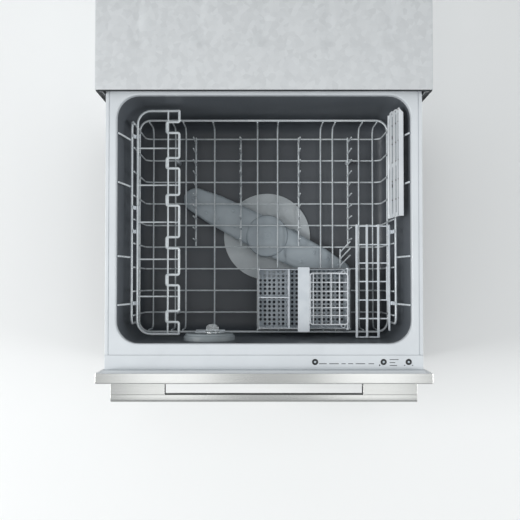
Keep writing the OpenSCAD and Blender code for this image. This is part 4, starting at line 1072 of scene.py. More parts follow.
@dataclass
class ControlStrip:
    """The strip along the rim's front: three push buttons and their printed marks."""

    half: float = 286.0
    depth: float = 25.7
    bottom: float = 346.0
    top: float = 376.0
    wall: float = 2.5
    buttons: tuple[float, float, float] = (91.8, 214.7, 259.7)
    button_y: float = 13.5
    button_r: float = 5.2

    def strip(self) -> None:
        """The strip with a round opening for each button."""
        xs = [-self.half, *(b + s * 7 for b in self.buttons for s in (-1, 1)), self.half]
        ys = [0.0, self.button_y - 7, self.button_y + 7, self.depth]
        form = Form()
        depth = (self.top - self.wall, self.top)
        hole = self.button_r + 0.25
        form.lattice(xs, ys, as_is, depth, lambda i, j: 1 + (j == 1 and i in (1, 3, 5)), hole, 24)
        h, z = self.half, self.top - self.wall + 0.05
        form.box((-h, 0, self.bottom), (h, self.wall, z))
        form.box((-h, self.depth - self.wall, self.bottom), (h, self.depth, z))
        for s in (-1, 1):
            form.box((s * h, self.wall, self.bottom), (s * (h - self.wall), self.depth - self.wall, z))
        form.piece("control_strip_moulding", Place.DRAWER, "drawer", RIM, ["control_strip"], bevel=0.5)

    def button(self, x: float, node: str) -> None:
        """One push button: a dished black cap, a grey ring and a pale centre, on a flanged stem."""
        y, z, r = self.button_y, self.top, self.button_r
        form = Form()
        profile = [(2, 355.6), (2, 371.2), (r + 1.2, 371.2), (r + 1.2, z - 2.8), (r, z - 2.8), (r, z + 0.1)]
        profile += [(r - 0.4, z + 0.5), (r - 1.2, z + 0.5), (r - 1.9, z + 0.1)]
        profile += [(2.4, z), (2.2, z - 0.1), (0.1, z - 0.1)]
        form.spin((x, y), profile, sides=40)
        form.piece(f"{node}_cap", Place.DRAWER, node, DARK, [node])
        form = Form()
        form.spin((x, y), [(2.0, z - 0.2), (2.0, z + 0.1), (1.6, z + 0.2), (0.1, z + 0.2)], sides=24)
        form.piece(f"{node}_symbol", Place.DRAWER, node, SPRAY)

    def marks(self) -> None:
        """Printed marks in place of words: a row of plain dashes, three short lines, and dots."""
        form = Form()
        z = (self.top - 0.02, self.top + 0.06)

        def dash(x0: float, x1: float, y: float, high: float) -> None:
            """One round-ended dash."""
            form.plate(round_rect((x0, x1), (y - high / 2, y + high / 2), [high * 0.3], corner=2, side=1), z)

        for x0, x1 in ((98.5, 112.5), (117, 134), (139, 146.5), (151, 160), (164.5, 181.5), (187.5, 197.5)):
            dash(x0, x1, 10.4, 1.3)
        for x1, y in ((241.5, 17.8), (235.4, 12.5), (238.6, 7.3)):
            dash(225.4, x1, y, 1.2)
        for x0, x1, y, high in ((206.2, 208.6, 7.6, 3.0), (251.2, 253.4, 7.4, 1.4), (265.6, 267.6, 7.4, 1.4)):
            dash(x0, x1, y, high)
        form.piece("strip_marks", Place.DRAWER, "drawer", INK)

    def build(self) -> None:
        """Builds the strip, its buttons and its marks."""
        self.strip()
        for x, node in zip(self.buttons, ("power_button", "start_button", "lock_button")):
            self.button(x, node)
        self.marks()
        dress_nodes(BOARD, "button_board")
        dress_nodes(DARK, "control_module")


@dataclass
class Front:
    """The stainless front: folded pan, liner, grip handle and the screws that hold it to the tub."""

    half: float = 297.5
    front: float = -22.4
    back: float = -4.2
    bottom: float = 14.0
    top: float = 406.0
    handle: float = 278.0
    grip: float = 180.0
    open_back: float = -26.4
    bar_front: float = -60.9
    bar_back: float = -46.9
    bar_low: float = 335.0
    bar_top: float = 359.0

    def pan(self) -> None:
        """The pan: a sheet folded back on all four sides, with small outer radii."""

        def ring(y: float, inset: float, r: float) -> tuple[list, float]:
            """The pan's outline moved inwards, and its depth."""
            return inset_rect(((-self.half, self.half), (self.bottom, self.top)), inset, [r], 4, 2), y

        rings = [ring(self.front + 1.2, 1.2, 1.0), ring(self.back, 1.2, 1.0), ring(self.back, 0.0, 1.6)]
        for k in range(5):
            a = math.pi / 2 * k / 4
            rings.append(ring(self.front + 2.2 * (1 - math.sin(a)), 2.2 * (1 - math.cos(a)), 1.6))
        form = Form()
        form.stack(rings, "Y")
        form.piece("front_pan", Place.DRAWER, "drawer", STAINLESS, ["door_panel"], angle=30)

    def grip_bar(self) -> None:
        """The handle: a plate with the finger opening, and the rounded grip bar along its front edge."""
        y_plate = self.bar_back - 0.5
        form = Form()
        xs = [-self.handle, -self.grip, self.grip, self.handle]
        ys = [y_plate, self.open_back, self.front + 0.2]
        depth = (self.bar_top - 3.4, self.bar_top - 0.5)
        form.lattice(xs, ys, as_is, depth, lambda i, j: int(i != 1 or j != 0))
        for s in (-1, 1):
            low = (s * (self.handle - 5), y_plate, self.bar_low)
            form.box(low, (s * self.handle, self.front + 0.2, self.bar_top - 3.3))
        form.piece("handle_plate", Place.DRAWER, "drawer", HANDLE, bevel=0.5)
        form = Form()
        spans = (self.bar_front, self.bar_back), (self.bar_low, self.bar_top)
        profile = round_rect(*spans, [4.0, 1.2, 1.2, 4.0], corner=5, side=2)
        form.plate(profile, (-self.handle, -self.handle + 0.6, self.handle - 0.6, self.handle), axis="X")
        form.piece("handle_bar", Place.DRAWER, "drawer", HANDLE, ["door_handle"], bevel=0.4, angle=25)
        # Painted shade: black strips along the back and both ends of the finger opening stand for the shadow
        # inside it.
        form = Form()
        g, y0, z = self.grip, self.bar_back, self.bar_top
        form.box((-g + 0.1, y0 - 0.3, z - 9), (g - 0.1, y0 + 1.6, z - 0.9))
        for s in (-1, 1):
            form.box((s * (g - 1.4), y0 - 0.2, z - 9), (s * (g + 0.2), self.open_back + 0.3, z - 0.8))
        form.piece("grip_opening_shade", Place.DRAWER, "drawer", DARK, bevel=0.3)

    def screws(self) -> None:
        """Hexagon-headed screws through the ribs' feet."""
        form = Form()
        for rib in RIBS_X:
            x = rib + math.copysign(RIB_FOOT, rib)
            for z in RIB_SCREWS_Z:
                form.plate(circle(x, z, 4.0, 6), (4.2, 6.6), axis="Y")
                form.spin((x, z), [(2.0, -6.7), (2.0, 4.1), (4.4, 4.1), (4.4, 4.7)], axis="Y", sides=24)
        form.piece("front_screws", Place.DRAWER, "drawer", BRACKET, ["door_screws"], bevel=0.3)

    def build(self) -> None:
        """Builds the front's pieces."""
        self.pan()
        self.grip_bar()
        self.screws()
        dress_nodes(RIM, "door_liner")


@dataclass
class Dispenser:
    """The round detergent dispenser on the tub's front wall, its flap and its rinse-aid cap."""

    x: float = -103.0
    z: float = 290.0
    face: float = 58.4
    cap: tuple[float, float] = (-96.0, 314.0)

    def body(self) -> None:
        """A domed disc with a stepped border, a recessed cup and a boss for the cap."""
        form = Form()
        steps = [(48.5, 44.4), (48.5, 51.5), (47.6, 53.6), (45.6, 54.6), (44.8, 57.4), (43.6, 58.2)]
        cup = []
        for half, tall, deep in ((26, 15, 0), (25.4, 14.4, 0.8), (23, 12, 19)):
            edge = round_rect((self.x - half, self.x + half), (270 - tall, 270 + tall), [5.0], 8, 12)
            cup.append((edge, self.face - deep))
        flat = cup[0][0]
        ring = circle(self.x, self.z, 1.0, len(flat))
        turn = min(range(len(ring)), key=lambda k: math.dist(ring[k], flat[0]))
        outer = []
        for r, y in [*steps, (42, self.face)]:
            spots = circle(self.x, self.z, r, len(flat))
            outer.append((spots[turn:] + spots[:turn], y))
        form.stack([*outer, *cup], "Y")
        form.plate(round_rect((self.x - 29.5, self.x + 29.5), (253.5, 319.5), [4.0]), (20.2, 45.0), axis="Y")
        form.piece("dispenser_moulding", Place.TUB, "drawer", DISPENSER, ["dispenser_body"], angle=28)

    def flap(self) -> None:
        """The flap: a crowned plate with a finger tab, on a round hinge pin."""
        form = Form()
        x, y = self.x, self.face + 0.3
        form.plate(round_rect((x - 28, x + 28), (254, 288), [4.0], 5, 3), (y, y + 1.8), axis="Y")
        form.plate(round_rect((x - 22, x + 22), (259, 283), [3.0], 5, 3), (y + 1.7, y + 2.4), axis="Y")
        form.spin((y + 1.8, 252), [(1.6, x - 28), (1.8, x - 27.6), (1.8, x + 27.6), (1.6, x + 28)], "X", 20)
        form.box((x - 27, y, 251.6), (x + 27, y + 1.8, 256))
        form.piece("dispenser_flap", Place.TUB, "dispenser_door", LIGHT, ["dispenser_door"], bevel=0.35)

    def rinse_cap(self) -> None:
        """A clear cap with a ribbed edge and a raised wing to turn it by."""
        x, z = self.cap
        form = Form()
        edge = []
        for k in range(64):
            a = math.tau * k / 64
            r = 13.0 if k % 4 < 2 else 12.4
            edge.append((x + r * math.cos(a), z + r * math.sin(a)))
        levels = [(0.66, 50.6), (0.66, 58.7), (1.0, 58.75), (1.0, 62.4), (0.93, 63.4)]
        form.stack([([(x + (a - x) * f, z + (b - z) * f) for a, b in edge], y) for f, y in levels], "Y")
        wing = [(-12, 63.2), (-11.2, 71), (-7, 75.6), (0, 76.4), (7, 75.6), (11.2, 71), (12, 63.2)]
        form.plate([(x + a, b) for a, b in wing], (z - 2, z + 2))
        form.piece("rinse_aid_cap", Place.TUB, "rinse_cap", CLEAR, ["rinse_cap"], bevel=0.4, angle=30)

    def build(self) -> None:
        """Builds the dispenser's pieces."""
        self.body()
        self.flap()
        self.rinse_cap()


@dataclass
class WashSystem:
    """Sump, filter, spray arm, pump motor, heater and drying fan."""

    x: float = 8.0
    y: float = 252.0
    angle: float = -27.0
    arm_z: float = 110.0

    def filter_plate(self) -> None:
        """The filter plate: rings of radial slots, a raised border and the riser that carries the arm."""
        radii = [14, 24, 36, 41, 56, 61, 74, 80, 88, 92]
        angles = [math.tau * k / 144 for k in range(145)]

        def at(u: float, v: float, w: float) -> Point:
            """Angle and radius to drawer frame, a little higher at the border."""
            lift = 0.4 if w > 93 and v == 88 else 0.0
            return self.x + v * math.cos(u), self.y + v * math.sin(u), w + lift

        def cell(i: int, j: int) -> int:
            """Slots on three rings, left out where the strainer stands."""
            here = angles[i]
            strainer = math.cos(here) > 0.9 and 1 <= j <= 6
            return int(strainer or not (j in (1, 3, 5) and i % 4 < 2))

        form = Form()
        form.lattice(angles, radii, at, (92.0, 94.2), cell, wrap=True)
        form.pipe((self.x, self.y), 81, 13, (91.6, 93.3), sides=72)
        riser = [(16, 92.2), (16, 95), (13.4, 97), (13, 99), (13, 113), (12.4, 114)]
        form.spin((self.x, self.y), riser, sides=40)
        form.pipe((self.x, self.y), 20, 18.2, (94.0, 95.4))
        form.piece("filter_disc", Place.TUB, "drawer", FILTER, ["filter_plate"], bevel=0.2)

    def strainer(self) -> None:
        """The lift-out strainer: a fine cylinder with a twist handle."""
        x, y = self.x + 54, self.y
        zs = steps_between(66.0, 92.0, 9)
        turns = [math.tau * k / 48 for k in range(49)]
        form = Form()

        def at(u: float, v: float, w: float) -> Point:
            """Angle, height and radius to drawer frame."""
            return x + w * math.cos(u), y + w * math.sin(u), v

        form.lattice(turns, zs, at, (14.2, 15.6), lambda i, j: int(i % 3 == 0 or j % 2 == 0), wrap=True)
        form.spin((x, y), [(15.6, 64.5), (15.6, 66.2), (14, 66.2), (13.6, 66.6)], sides=36)
        form.spin((x, y), [(16, 91.0), (16, 95.0), (15, 95.8), (10, 94.2), (0.1, 94.0)], sides=36)
        grip = [(-12.4, 94.2), (-11, 97.6), (-4, 98.4), (4, 98.4), (11, 97.6), (12.4, 94.2)]
        grip += [(9, 93.8), (-9, 93.8)]
        form.plate([(y + a, b) for a, b in grip], (x - 1.6, x + 1.6), axis="X")
        form.piece("strainer_cup", Place.TUB, "drain_filter", SPRAY, ["drain_filter"], bevel=0.3)

    def half_width(self, along: float) -> float:
        """Half the spray arm's width at a distance from its axis."""
        if along < 125:
            return 36 - 4 * max(0.0, along - 20) / 105
        if along < 169:
            return 32 - 6 * (along - 125) / 44
        return math.sqrt(max(0.0, 26**2 - (along - 169) ** 2))

    def spray_arm(self) -> None:
        """Two crowned wings on a domed hub, with jets along one side and a moulded seam line."""
        form = Form()
        spots = [0.0, 30, 60, 90, 125, 147, 169, 178, 185, 190, 193.5, 195]
        right = [(0.4, 1), (0.8, 0.92), (0.94, 0.7), (1, 0.35), (1, 0.0)]
        section = [*((-a, b) for a, b in reversed(right)), (0, 1), *right]
        rings = []
        for along in spots:
            half = max(self.half_width(along), 3.0)
            tall = 8.0 if along < 150 else 8.0 - 2.6 * ((along - 150) / 45) ** 2
            rings.append([(along, half * a, tall * b) for a, b in section])
        form.loft(rings)
        jet = [(4.2, 7.4), (4.2, 8.3), (3.4, 8.9), (2.2, 9.0), (1.6, 8.4), (0.1, 8.3)]
        for spot in ((70, 14), (104, 14), (136, 14), (164, 14), (88, -15), (176, 0)):
            form.spin(spot, jet, sides=20)
        form.plate([(52, -21), (140, -17), (158, -9), (157, -8), (139.5, -15.6), (52, -19.6)], (7.6, 8.5))
        wing = form.mesh.copy()
        form.turn(Matrix.Rotation(math.pi, 4, "Z"))
        other = bpy.data.meshes.new("wing")
        wing.to_mesh(other)
        wing.free()
        form.mesh.from_mesh(other)
        bpy.data.meshes.remove(other)
        hub = [(13.3, 0), (43.4, 0), (44, 1), (44, 7.5), (42.6, 9.6), (39, 10.8), (34, 11)]
        hub += [(31, 10.4), (20, 10.2), (17.6, 10.9), (13.3, 11)]
        form.stack([(circle(0, 0, r, 64), h) for r, h in hub], loop=True)
        cap = [(13.2, 9.0), (13.2, 10.8), (9, 11.0), (8.2, 10.2), (3, 10.2), (2.4, 11), (0.1, 11)]
        form.spin((0, 0), cap, sides=40)
        form.turn(placed((self.x, self.y, self.arm_z), self.angle, "Z"))
        form.piece("spray_arm_moulding", Place.TUB, "spray_arm", SPRAY, ["spray_arm"], angle=34)

    def underside(self) -> None:
        """Pump motor with its cooling fins, and the ring heater with its two terminals."""
        form = Form()
        form.pipe((self.x, self.y), 52, 48, (24.2, 58.0), sides=64)
        form.spin((self.x, self.y), [(52, 56.4), (52, 58.0), (48, 58.0)], sides=64)
        form.pipe((self.x, self.y), 48.4, 14, (24.0, 26.4), sides=64)
        for k in range(32):
            a = math.tau * k / 32
            blade = [(51.4, -0.7), (51.4, 0.7), (51.98, 0.5), (51.98, -0.5)]
            turned = [
                (self.x + r * math.cos(a) - t * math.sin(a), self.y + r * math.sin(a) + t * math.cos(a))
                for r, t in blade
            ]
            form.plate(turned, (28.0, 54.0))
        form.piece("pump_motor_casing", Place.TUB, "drawer", MOTOR, ["motor_stator"], bevel=0.3)
        form = Form()
        form.pipe((self.x, self.y), 103.4, 77.6, (84.6, 89.4), sides=72)
        turns = steps_between(0.3, 5.9, 60)
        path = [(self.x + 92 * math.cos(a), self.y + 92 * math.sin(a), 84.9) for a in turns]
        form.wire(path, 3.0, 10)
        form.piece("ring_heater", Place.TUB, "drawer", BRACKET, ["heater_plate"], bevel=0.3)

    def fan(self) -> None:
        """The drying fan's housing with its grille and mounting boss."""
        form = Form()
        for outer, inner, span in ((42, 40, (10, 41.9)), (40.2, 17, (10, 12)), (40.2, 3, (39.9, 41.9))):
            form.pipe((80, 230), outer, inner, span, axis="Y", sides=64)
        form.spin((80, 230), [(2.5, 17.6), (2.5, 41)], axis="Y", sides=20)
        for k in range(6):
            a, b = 17.4 * math.cos(math.pi * k / 6), 17.4 * math.sin(math.pi * k / 6)
            form.wire([(80 - a, 11, 230 - b), (80 + a, 11, 230 + b)], 0.8, 6)
        form.piece("fan_casing", Place.TUB, "drawer", DARK, ["fan_housing"], bevel=0.3)

    def build(self) -> None:
        """Builds the wash system."""
        self.filter_plate()
        self.strainer()
        self.spray_arm()
        self.underside()
        self.fan()
        dress_nodes(MOTOR, "motor_rotor")
        dress_nodes(SPRAY, "wash_impeller")
        dress_nodes(DARK, "fan_wheel")


# ---------- rack ----------


@dataclass
class WireRack:
    """The nylon-dipped wire rack: bent floor wires, rails, side arms, feet and clips."""

    half: float = 245.85
    front: float = 59.0
    back: float = 477.0
    floor: float = 130.0
    rail: float = 200.0
    side_rail: float = 300.0
    wire_r: float = 1.6
    rail_r: float = 2.2
    bend: float = 16.0

    def crosses(self) -> list[float]:
        """Places of the nine wires that run across."""
        return [91.8 + 45.4 * i for i in range(9)]

    def wires(self) -> None:
        """Floor wires both ways, each bent up at its two ends."""
        form = Form()
        h, z, top = self.half, self.floor, self.side_rail + self.rail_r
        for y in self.crosses():
            form.wire(bent([(-h, y, top), (-h, y, z), (h, y, z), (h, y, top)], self.bend), self.wire_r)
        z, top = self.floor + 2 * self.wire_r + 0.05, self.rail + self.rail_r
        for x in (-230, -184, -162, -102, -12, 30, 120, 145, 200, 229):
            corners = [(x, self.front, top), (x, self.front, z), (x, self.back, z), (x, self.back, top)]
            form.wire(bent(corners, self.bend), self.wire_r)
        form.piece("rack_floor_wires", Place.TUB, "rack", COATED, ["rack_wires"], angle=60)

    def rails(self) -> None:
        """The rail loop, the two side rails with their turned-down ends, and the bowed side arms."""
        form = Form()
        x, y0, y1, z = 249.7, 55.15, 480.85, self.rail
        corners = [(-x, y0, z), (x, y0, z), (x, y1, z), (-x, y1, z)]
        form.wire(bent(corners, 22, 8, loop=True), self.rail_r, loop=True)
        for s in (-1, 1):
            ends = [(s * x, 76, 204), (s * x, 76, 300), (s * x, 461, 300), (s * x, 461, 204)]
            form.wire(bent(ends, 14), self.rail_r)
            for y in (113.3, 201.7, 335.9, 424.9):
                arm = [(s * 251.4, y, 289), (s * 253.6, y, 300), (s * 258.0, y, 334), (s * 263.6, y, 370)]
                form.wire(bent(arm, 40, 6), 1.9)
        form.piece("rack_rail_wires", Place.TUB, "rack", COATED, ["rack_rails"], angle=60)

    def fittings(self) -> None:
        """Moulded feet under the floor wires and the clips that carry the cup racks' hinge wires."""
        form = Form()
        for x in (-180, 180):
            for y in (91.8, 409.6):
                profile = [(3.4, 92.2), (5, 93.6), (5, 120), (4.2, 126), (3.6, 128.3)]
                form.spin((x, y), profile, sides=24)
                form.pipe((x, y), 3.1, 1.4, (128.0, 128.4), sides=16)
        hinge = CUP_HINGE_X
        for s, z in ((-1, LEFT_CUP_Z), (1, RIGHT_CUP_Z)):
            for y in (114.5, 250.7, 295.9, 432.1):
                leg = round_rect((245.95, 247.35), (z - 5, 303), [0.5], corner=2, side=1)
                form.plate([(s * a, b) for a, b in leg], (y - 3.5, y + 3.5), axis="Y")
                hook = []
                for r, start, end in ((4.4, 155, 385), (2.5, 385, 155)):
                    turns = [math.radians(a) for a in steps_between(start, end, 14)]
                    hook += [(hinge + r * math.cos(a), z + r * math.sin(a)) for a in turns]
                form.plate([(s * a, b) for a, b in hook], (y - 3.5, y + 3.5), axis="Y")
                form.box((s * (hinge + 3.9), y - 3.4, z - 3), (s * 246.2, y + 3.4, z + 1.5))
        form.piece("rack_clips", Place.TUB, "rack", LIGHT, bevel=0.2)

    def build(self) -> None:
        """Builds the rack's fixed pieces."""
        self.wires()
        self.rails()
        self.fittings()


@dataclass
class Tines:
    """Folding rows of plate tines, each row on its own hinge wire."""

    z: float = 133.7
    hinge_r: float = 1.8
    tine_r: float = 1.5

    def row(
        self,
        node: str,
        x: float,
        y: float,
        count: int,
        pitch: float,
        lean: float = 0.0,
        high: float = 72.0,
        slant: float = 0.0,
    ) -> None:
        """One row.

        Args:
            node: The CAD node and body of the row.
            x: Place of the hinge wire.
            y: Place of the first tine.
            count: Number of tines.
            pitch: Spacing of the tines.
            lean: Lean of the tines to the right in degrees.
            high: Height of the tines' ends over the hinge wire.
            slant: How far the tines' ends lie behind their feet.
        """
        form = Form()
        last, end = y + (count - 1) * pitch, 6 if slant else 12
        form.wire([(0, y - end, 0), (0, last + end, 0)], self.hinge_r)
        for k in range(count):
            form.wire([(0, y + k * pitch, 1.2), (0, y + k * pitch + slant, high)], self.tine_r)
            form.spin((0, y + k * pitch), [(2.4, 0.4), (2.6, 1.6), (1.9, 3.4), (1.5, 4.4)], sides=12)
        form.turn(placed((x, 0, self.z), lean, "Y"))
        form.piece(f"{node}_row", Place.TUB, node, COATED, [node], angle=60)

    def build(self) -> None:
        """Builds the four long rows and the short slanting one."""
        for node, x in (("left_outer", -141), ("left_inner", -47), ("right_inner", 74), ("right_outer", 177)):
            self.row(f"tines_{node}", x, 242, 10, 22.7)
        self.row("tines_right_front", 161, 190, 3, 14, 24, 42, 20)


@dataclass
class CupRacks:
    """The folding cup racks: wire on the left, slats at the right rear, a moulded grid at the right front."""

    wire_r: float = 1.6
    lean: float = 6.0

    def left(self) -> None:
        """Wire rack with a square wave along its outer side, which leaves room for cup handles."""
        hinge, inner, outer, z = -CUP_HINGE_X, -182.5, -161.2, LEFT_CUP_Z
        y0, y1 = 54.5, 483.5
        form = Form()
        for start, end in ((300, y1 - 1.5), (300.2, y0 + 1.5)):
            form.wire(bent([(hinge, start, z), (hinge, end, z), (outer + 1, end, z)], 26, 6), CUP_HINGE_R)
        form.wire([(inner, y0, z - 0.3), (inner, y1, z - 0.3)], 1.7)
        edge = [(outer, y0, z)]
        bays = ((78.9, 99.8), (148.6, 168.7), (219.0, 240.3), (300.4, 320.9), (371.6, 391.5), (439.6, 460.5))
        for lo, hi in bays:
            edge += [(outer, lo, z), (inner - 2.8, lo, z), (inner - 2.8, hi, z), (outer, hi, z)]
        edge.append((outer, y1, z))
        form.wire(bent(edge, 3, 3), 2.4)
        low = z - self.wire_r - CUP_HINGE_R - 0.05
        for k in range(7):
            y = y0 + 2 + k * (y1 - y0 - 4) / 6
            x0 = hinge + (15 if k in (0, 6) else -1.5)
            form.wire([(x0, y, low), (outer + 2, y, low)], self.wire_r)
        form.piece("cup_rack_left_wires", Place.TUB, "cup_rack_left", COATED, ["cup_rack_left"], angle=60)

    def front(self) -> None:
        """Moulded grid: four flat bars and seven thin cross ribs on a round hinge."""
        form = Form()
        z, hinge, wide, y0, y1 = RIGHT_CUP_Z, CUP_HINGE_X, 64.0, 46.5, 265.0
        for x in (hinge - wide + 1.6, hinge - wide * 0.67, hinge - wide * 0.33):
            form.box((x - 2.2, y0 + 2, z - 1.6), (x + 2.2, y1, z + 2.0))
        form.wire([(hinge, y0 + 15, z), (hinge, y1, z)], CUP_HINGE_R, 14)
        form.box((hinge - 6.2, y0 + 74, z - 1.2), (hinge - 2.0, y0 + 138, z + 1.6))
        for k in range(7):
            y = y0 + 3 + k * (y1 - y0 - 6) / 6
            form.box((hinge - wide + 0.4, y - 1.3, z - 4.4), (hinge + (1 if k else -19), y + 1.3, z - 0.4))
        form.piece("cup_rack_front_grid", Place.TUB, "cup_rack_front", LIGHT, ["cup_rack_front"], bevel=0.6)

    def rear(self) -> None:
        """Slatted rack, folded up: three slats and a lip on top, with grey strips of painted shade in the
        channels between the slats and dark blocks of painted shade where the drain holes are.
        """
        y0, y1, tall, foot, gap = 276.0, 475.0, 75.0, 6.0, 4.5
        slat = (tall - foot - 2 * gap - 0.9) / 3
        stand = placed((CUP_HINGE_X, 0, RIGHT_CUP_Z), self.lean, "Y")
        form = Form()
        form.wire([(0, y0, 0), (0, y1, 0)], CUP_HINGE_R, 14)
        for i in range(3):
            z, end = foot + i * (slat + gap), y1 + 3 - 1.5 * i
            section = [(-0.2, z), (1.2, z), (1.2, z + slat), (-1.2, z + slat), (-1.2, z + slat - 1.6)]
            form.plate(section, (y0, end), axis="Y")
        for y in (y0, (y0 + y1) / 2 - 4, y1 - 8):
            form.box((-0.2, y, 2.4), (0.9, y + 8, tall - 1))
        lip = [(-1.2, y0), (7.5, y0), (7.5, y1 - 9), (-1.2, y1)]
        form.plate(lip, (tall - 2.4, tall))
        form.turn(stand)
        form.piece("cup_rack_rear_slats", Place.TUB, "cup_rack_rear", SLATTED, ["cup_rack_rear"], bevel=0.3)
        # Painted shade: the grey strips below fill the channels between the slats, where shadow lies.
        groove_shade, holes = Form(), Form()
        for i in range(3):
            z = foot + i * (slat + gap) + slat
            if i < 2:
                groove_shade.box((-1.0, y0 + 1, z - 0.2), (1.15, y1 - 1, z + 0.2))
                groove_shade.box((0.7, y0 + 1, z), (1.15, y1 - 1, z + gap))
            else:
                groove_shade.box((-1.35, y0 + 1, tall - 6.0), (-1.05, y1 - 9, tall - 2.5))
            # Painted shade: dark blocks stand in the channels where the drain holes are.
            for k in range(6):
                y = min(y0 + 33 + 35.25 * k, y1 - 3)
                low = (-1.15, y - 1.3, z - 0.2) if i < 2 else (-1.5, y - 1.3, tall - 6.2)
                high = (0.9, y + 1.3, z + 0.4) if i < 2 else (-1.05, y + 1.3, tall - 2.6)
                holes.box(low, high)
        # Painted shade: two larger dark blocks in the lowest channel.
        for y in (y0 + 60, y0 + 151.5):
            holes.box((-1.15, y - 3.2, foot + slat - 0.2), (0.4, y + 3.2, foot + slat + 0.4))
        for form, name, finish in ((groove_shade, "groove_shade", GROOVE_SHADE), (holes, "drain_hole_shade", DARK)):
            form.turn(stand)
            form.piece(f"cup_rack_rear_{name}", Place.TUB, "cup_rack_rear", finish)

    def build(self) -> None:
        """Builds the three cup racks."""
        self.left()
        self.front()
        self.rear()


@dataclass
class CutleryBasket:
    """The cutlery basket: pierced floor and walls, three dividers, a flat carrying handle and a grid lid."""

    x0: float = -11.7
    x1: float = 169.7
    y0: float = 62.5
    y1: float = 182.0
    z0: float = 135.45
    z1: float = 255.0
    wall: float = 2.2
    handle: tuple[float, float] = (65.4, 87.7)
    hinge: tuple[float, float] = (163.1, 258.2)

    def floor(self, form: Form) -> None:
        """The floor: rows of round holes."""
        us = steps_between(self.x0 + 1, self.x1 - 1, 19)
        vs = steps_between(self.y0 + 1, self.y1 - 1, 13)
        depth = (self.z0, self.z0 + self.wall)
        form.lattice(us, vs, as_is, depth, lambda i, j: 1 if i in (0, 18) and j in (0, 12) else 2, 3.0)

    def screen(self, form: Form, fixed: float, across: tuple[float, float], axis: str, high: float) -> None:
        """A wall with windows.

        Args:
            form: The mesh it is added to.
            fixed: Where the wall's outer face stands.
            across: The wall's start and end.
            axis: "X" for a wall that faces left or right, "Y" for one that faces front or back.
            high: Height of its top edge.
        """

        def windows(lo: float, hi: float, count: int, bar: float) -> list[float]:
            """Both edges of each of count windows between lo and hi, half a bar from their neighbours."""
            edges = steps_between(lo, hi, count)
            return [e for a, b in zip(edges, edges[1:]) for e in (a + bar, b - bar)]

        us = [across[0], *windows(*across, max(2, round((across[1] - across[0]) / 15)), 2.2), across[1]]
        vs = [self.z0 + 0.2, self.z0 + 14, *windows(self.z0 + 14, high - 12, 5, 1.6), high - 12, high]

        def at(u: float, v: float, w: float) -> Point:
            """Wall grid to drawer frame."""
            return (fixed + w, u, v) if axis == "X" else (u, fixed + w, v)

        def cell(i: int, j: int) -> int:
            """Leaves the windows open."""
            return int(i % 2 == 0 or j % 2 == 1 or not 1 < j < 12)

        form.lattice(us, vs, at, (0.0, self.wall), cell)

    def body(self) -> None:
        """The basket and its handle."""
        form = Form()
        self.floor(form)
        for y in (self.y0, self.y1 - self.wall):
            self.screen(form, y, (self.x0, self.x1), "Y", self.z1)
        for x in (self.x0, self.x1 - self.wall):
            self.screen(form, x, (self.y0 + 0.2, self.y1 - 0.2), "X", self.z1)
        for x in (48.7, self.handle[1] - 1.1):
            self.screen(form, x, (self.y0 + 1, self.y1 - 1), "X", self.z1 - 3)
        self.screen(form, 123.5, (self.x0 + 1, 49), "Y", self.z1 - 3)
        form.border(((self.x0, self.x1), (self.y0, self.y1)), 3, 5.0, (self.z1 - 4, self.z1))
        a, b = self.handle
        for y in (self.y0, self.y1 - 3):
            form.box((a, y, self.z1 - 3), (b - 2.2, y + 3, 284))
        strap = round_rect((a, b), (self.y0 - 3, self.y1 + 1), [2.0], corner=4, side=3)
        form.plate(strap, (282.0, 285.0))
        x = self.hinge[0]
        for y in (self.y0, self.y1 - self.wall):
            form.pipe(self.hinge, 3.2, 1.5, (y, y + self.wall), axis="Y", sides=20)
            form.box((x - 3.2, y + 0.01, self.z1 - 0.5), (x + 3.2, y + self.wall - 0.01, self.z1 + 1.8))
        for y in (69.6, 173.0):
            form.pipe((155.2, y), 4.2, 2.6, (self.z0 + 1.8, self.z1 - 2), sides=20)
        form.piece("basket_moulding", Place.TUB, "cutlery_basket", LIGHT, ["cutlery_basket"], bevel=0.35)

    def lid(self) -> None:
        """The grid lid: a frame with round corners, thin ribs and one thick one, on its hinge wire."""
        form = Form()
        x0, x1, y0, y1 = 89.3, 164.3, 71.5, 173.0
        hinge, z = self.hinge
        form.border(((x0, x1), (y0, y1)), 2.4, 6.0, (z - 1.2, z + 1.2))
        for x in (96.8, 113.2, 131.0, 147.2):
            form.box((x - 1.0, y0 + 1.5, z - 1.1), (x + 1.0, y1 - 1.5, z + 0.9))
        for y in (90.0, 105.4, 120.4, 136.5, 154.0):
            half = 1.7 if y == 120.4 else 1.0
            form.box((x0 + 1.5, y - half, z - 1.0), (x1 - 1.5, y + half, z + 1.0))
        form.wire([(hinge, self.y0 + 0.5, z), (hinge, self.y1 - 0.5, z)], 1.2, 12)
        form.piece("basket_grid_lid", Place.TUB, "basket_lid", SLATTED, ["basket_lid"], bevel=0.3)

    def build(self) -> None:
        """Builds the basket and its lid."""
        self.body()
        self.lid()


# ---------- studio ----------


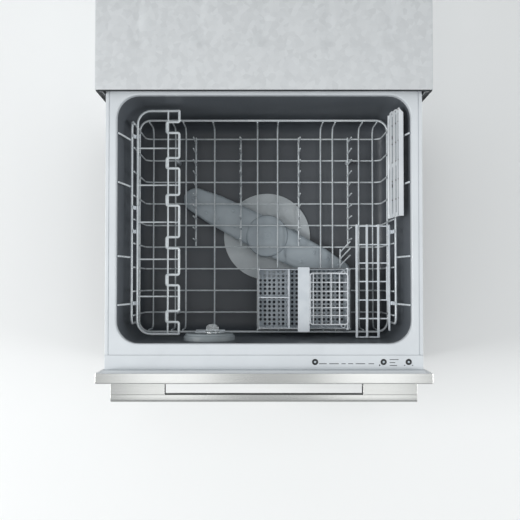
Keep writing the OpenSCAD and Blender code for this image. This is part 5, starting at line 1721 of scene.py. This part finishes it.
@dataclass
class Studio:
    """The pale floor, the soft lights and the camera that looks down on the open drawer."""

    eye: tuple[float, float, float] = (-0.007, -0.3357, 1.856)
    tilt: float = 1.53
    lens: float = 57.0
    floor: str = "#f6f7f7"

    def area(self, name: str, at: Point, aim: Point, size: tuple[float, float], watts: float) -> None:
        """One rectangular soft light, aimed at a point."""
        data = bpy.data.lights.new(name, "AREA")
        data.shape = "RECTANGLE"
        data.size, data.size_y = size
        data.energy = watts
        lamp = bpy.data.objects.new(name, data)
        lamp.location = at
        lamp.rotation_euler = (Vector(aim) - Vector(at)).to_track_quat("-Z", "Y").to_euler()
        bpy.context.scene.collection.objects.link(lamp)

    def build(self) -> None:
        """Sets up floor, light and camera."""
        scene = bpy.context.scene
        scene.view_settings.view_transform = "Standard"
        world = bpy.data.worlds.new("studio")
        world.use_nodes = True
        back = world.node_tree.nodes["Background"]
        back.inputs["Color"].default_value = linear("#f4f7f8")
        back.inputs["Strength"].default_value = 0.48
        scene.world = world
        for light in (
            ("ceiling", (0, -0.3, 2.75), (0, -0.299, 0), (3.0, 1.8), 2.4),
            ("strip_left", (-0.42, -0.3, 2.7), (-0.42, -0.299, 0), (0.42, 1.8), 2.4),
            ("strip_right", (0.52, -0.3, 2.7), (0.52, -0.299, 0), (0.42, 1.8), 2.4),
            ("window_left", (-3.2, -0.6, 2.6), (0.2, -0.2, 0.3), (1.4, 1.4), 90),
            ("window_right", (4.0, -0.9, 1.75), (-0.2, -0.2, 0.3), (1.6, 1.6), 80),
        ):
            self.area(*light)
        mesh = bmesh.new()
        for x, y in ((-6, -6), (6, -6), (6, 6), (-6, 6)):
            mesh.verts.new((x, y, -0.0005))
        mesh.faces.new(mesh.verts)
        data = bpy.data.meshes.new("studio_floor")
        mesh.to_mesh(data)
        mesh.free()
        ground = bpy.data.objects.new("studio_floor", data)
        scene.collection.objects.link(ground)
        pale = self.floor
        coarse = {"grain_mm": 3.0, "grain_depth_mm": 0.0}
        paper = Moulded("matt_paper_backdrop", "rim_plastic", pale, pale, 0.9, **coarse)
        data.materials.append(paper.material())
        view = bpy.data.cameras.new("camera")
        view.lens = self.lens
        view.sensor_width = 36.0
        view.clip_start = 0.05
        camera = bpy.data.objects.new("camera", view)
        camera.location = self.eye
        camera.rotation_euler = (math.radians(self.tilt), 0, 0)
        scene.collection.objects.link(camera)
        scene.camera = camera


def main() -> None:
    """Builds every sub-assembly in order."""
    logging.basicConfig(level=logging.INFO, format="%(message)s")
    kinds = (Studio, Cabinet, Fittings, InnerLid, Runners, Tub, Rim, ControlStrip, Front, Dispenser)
    for kind in (*kinds, WashSystem, WireRack, Tines, CupRacks, CutleryBasket):
        log.info("building %s", kind.__name__)
        kind().build()


if __name__ == "__main__":
    main()
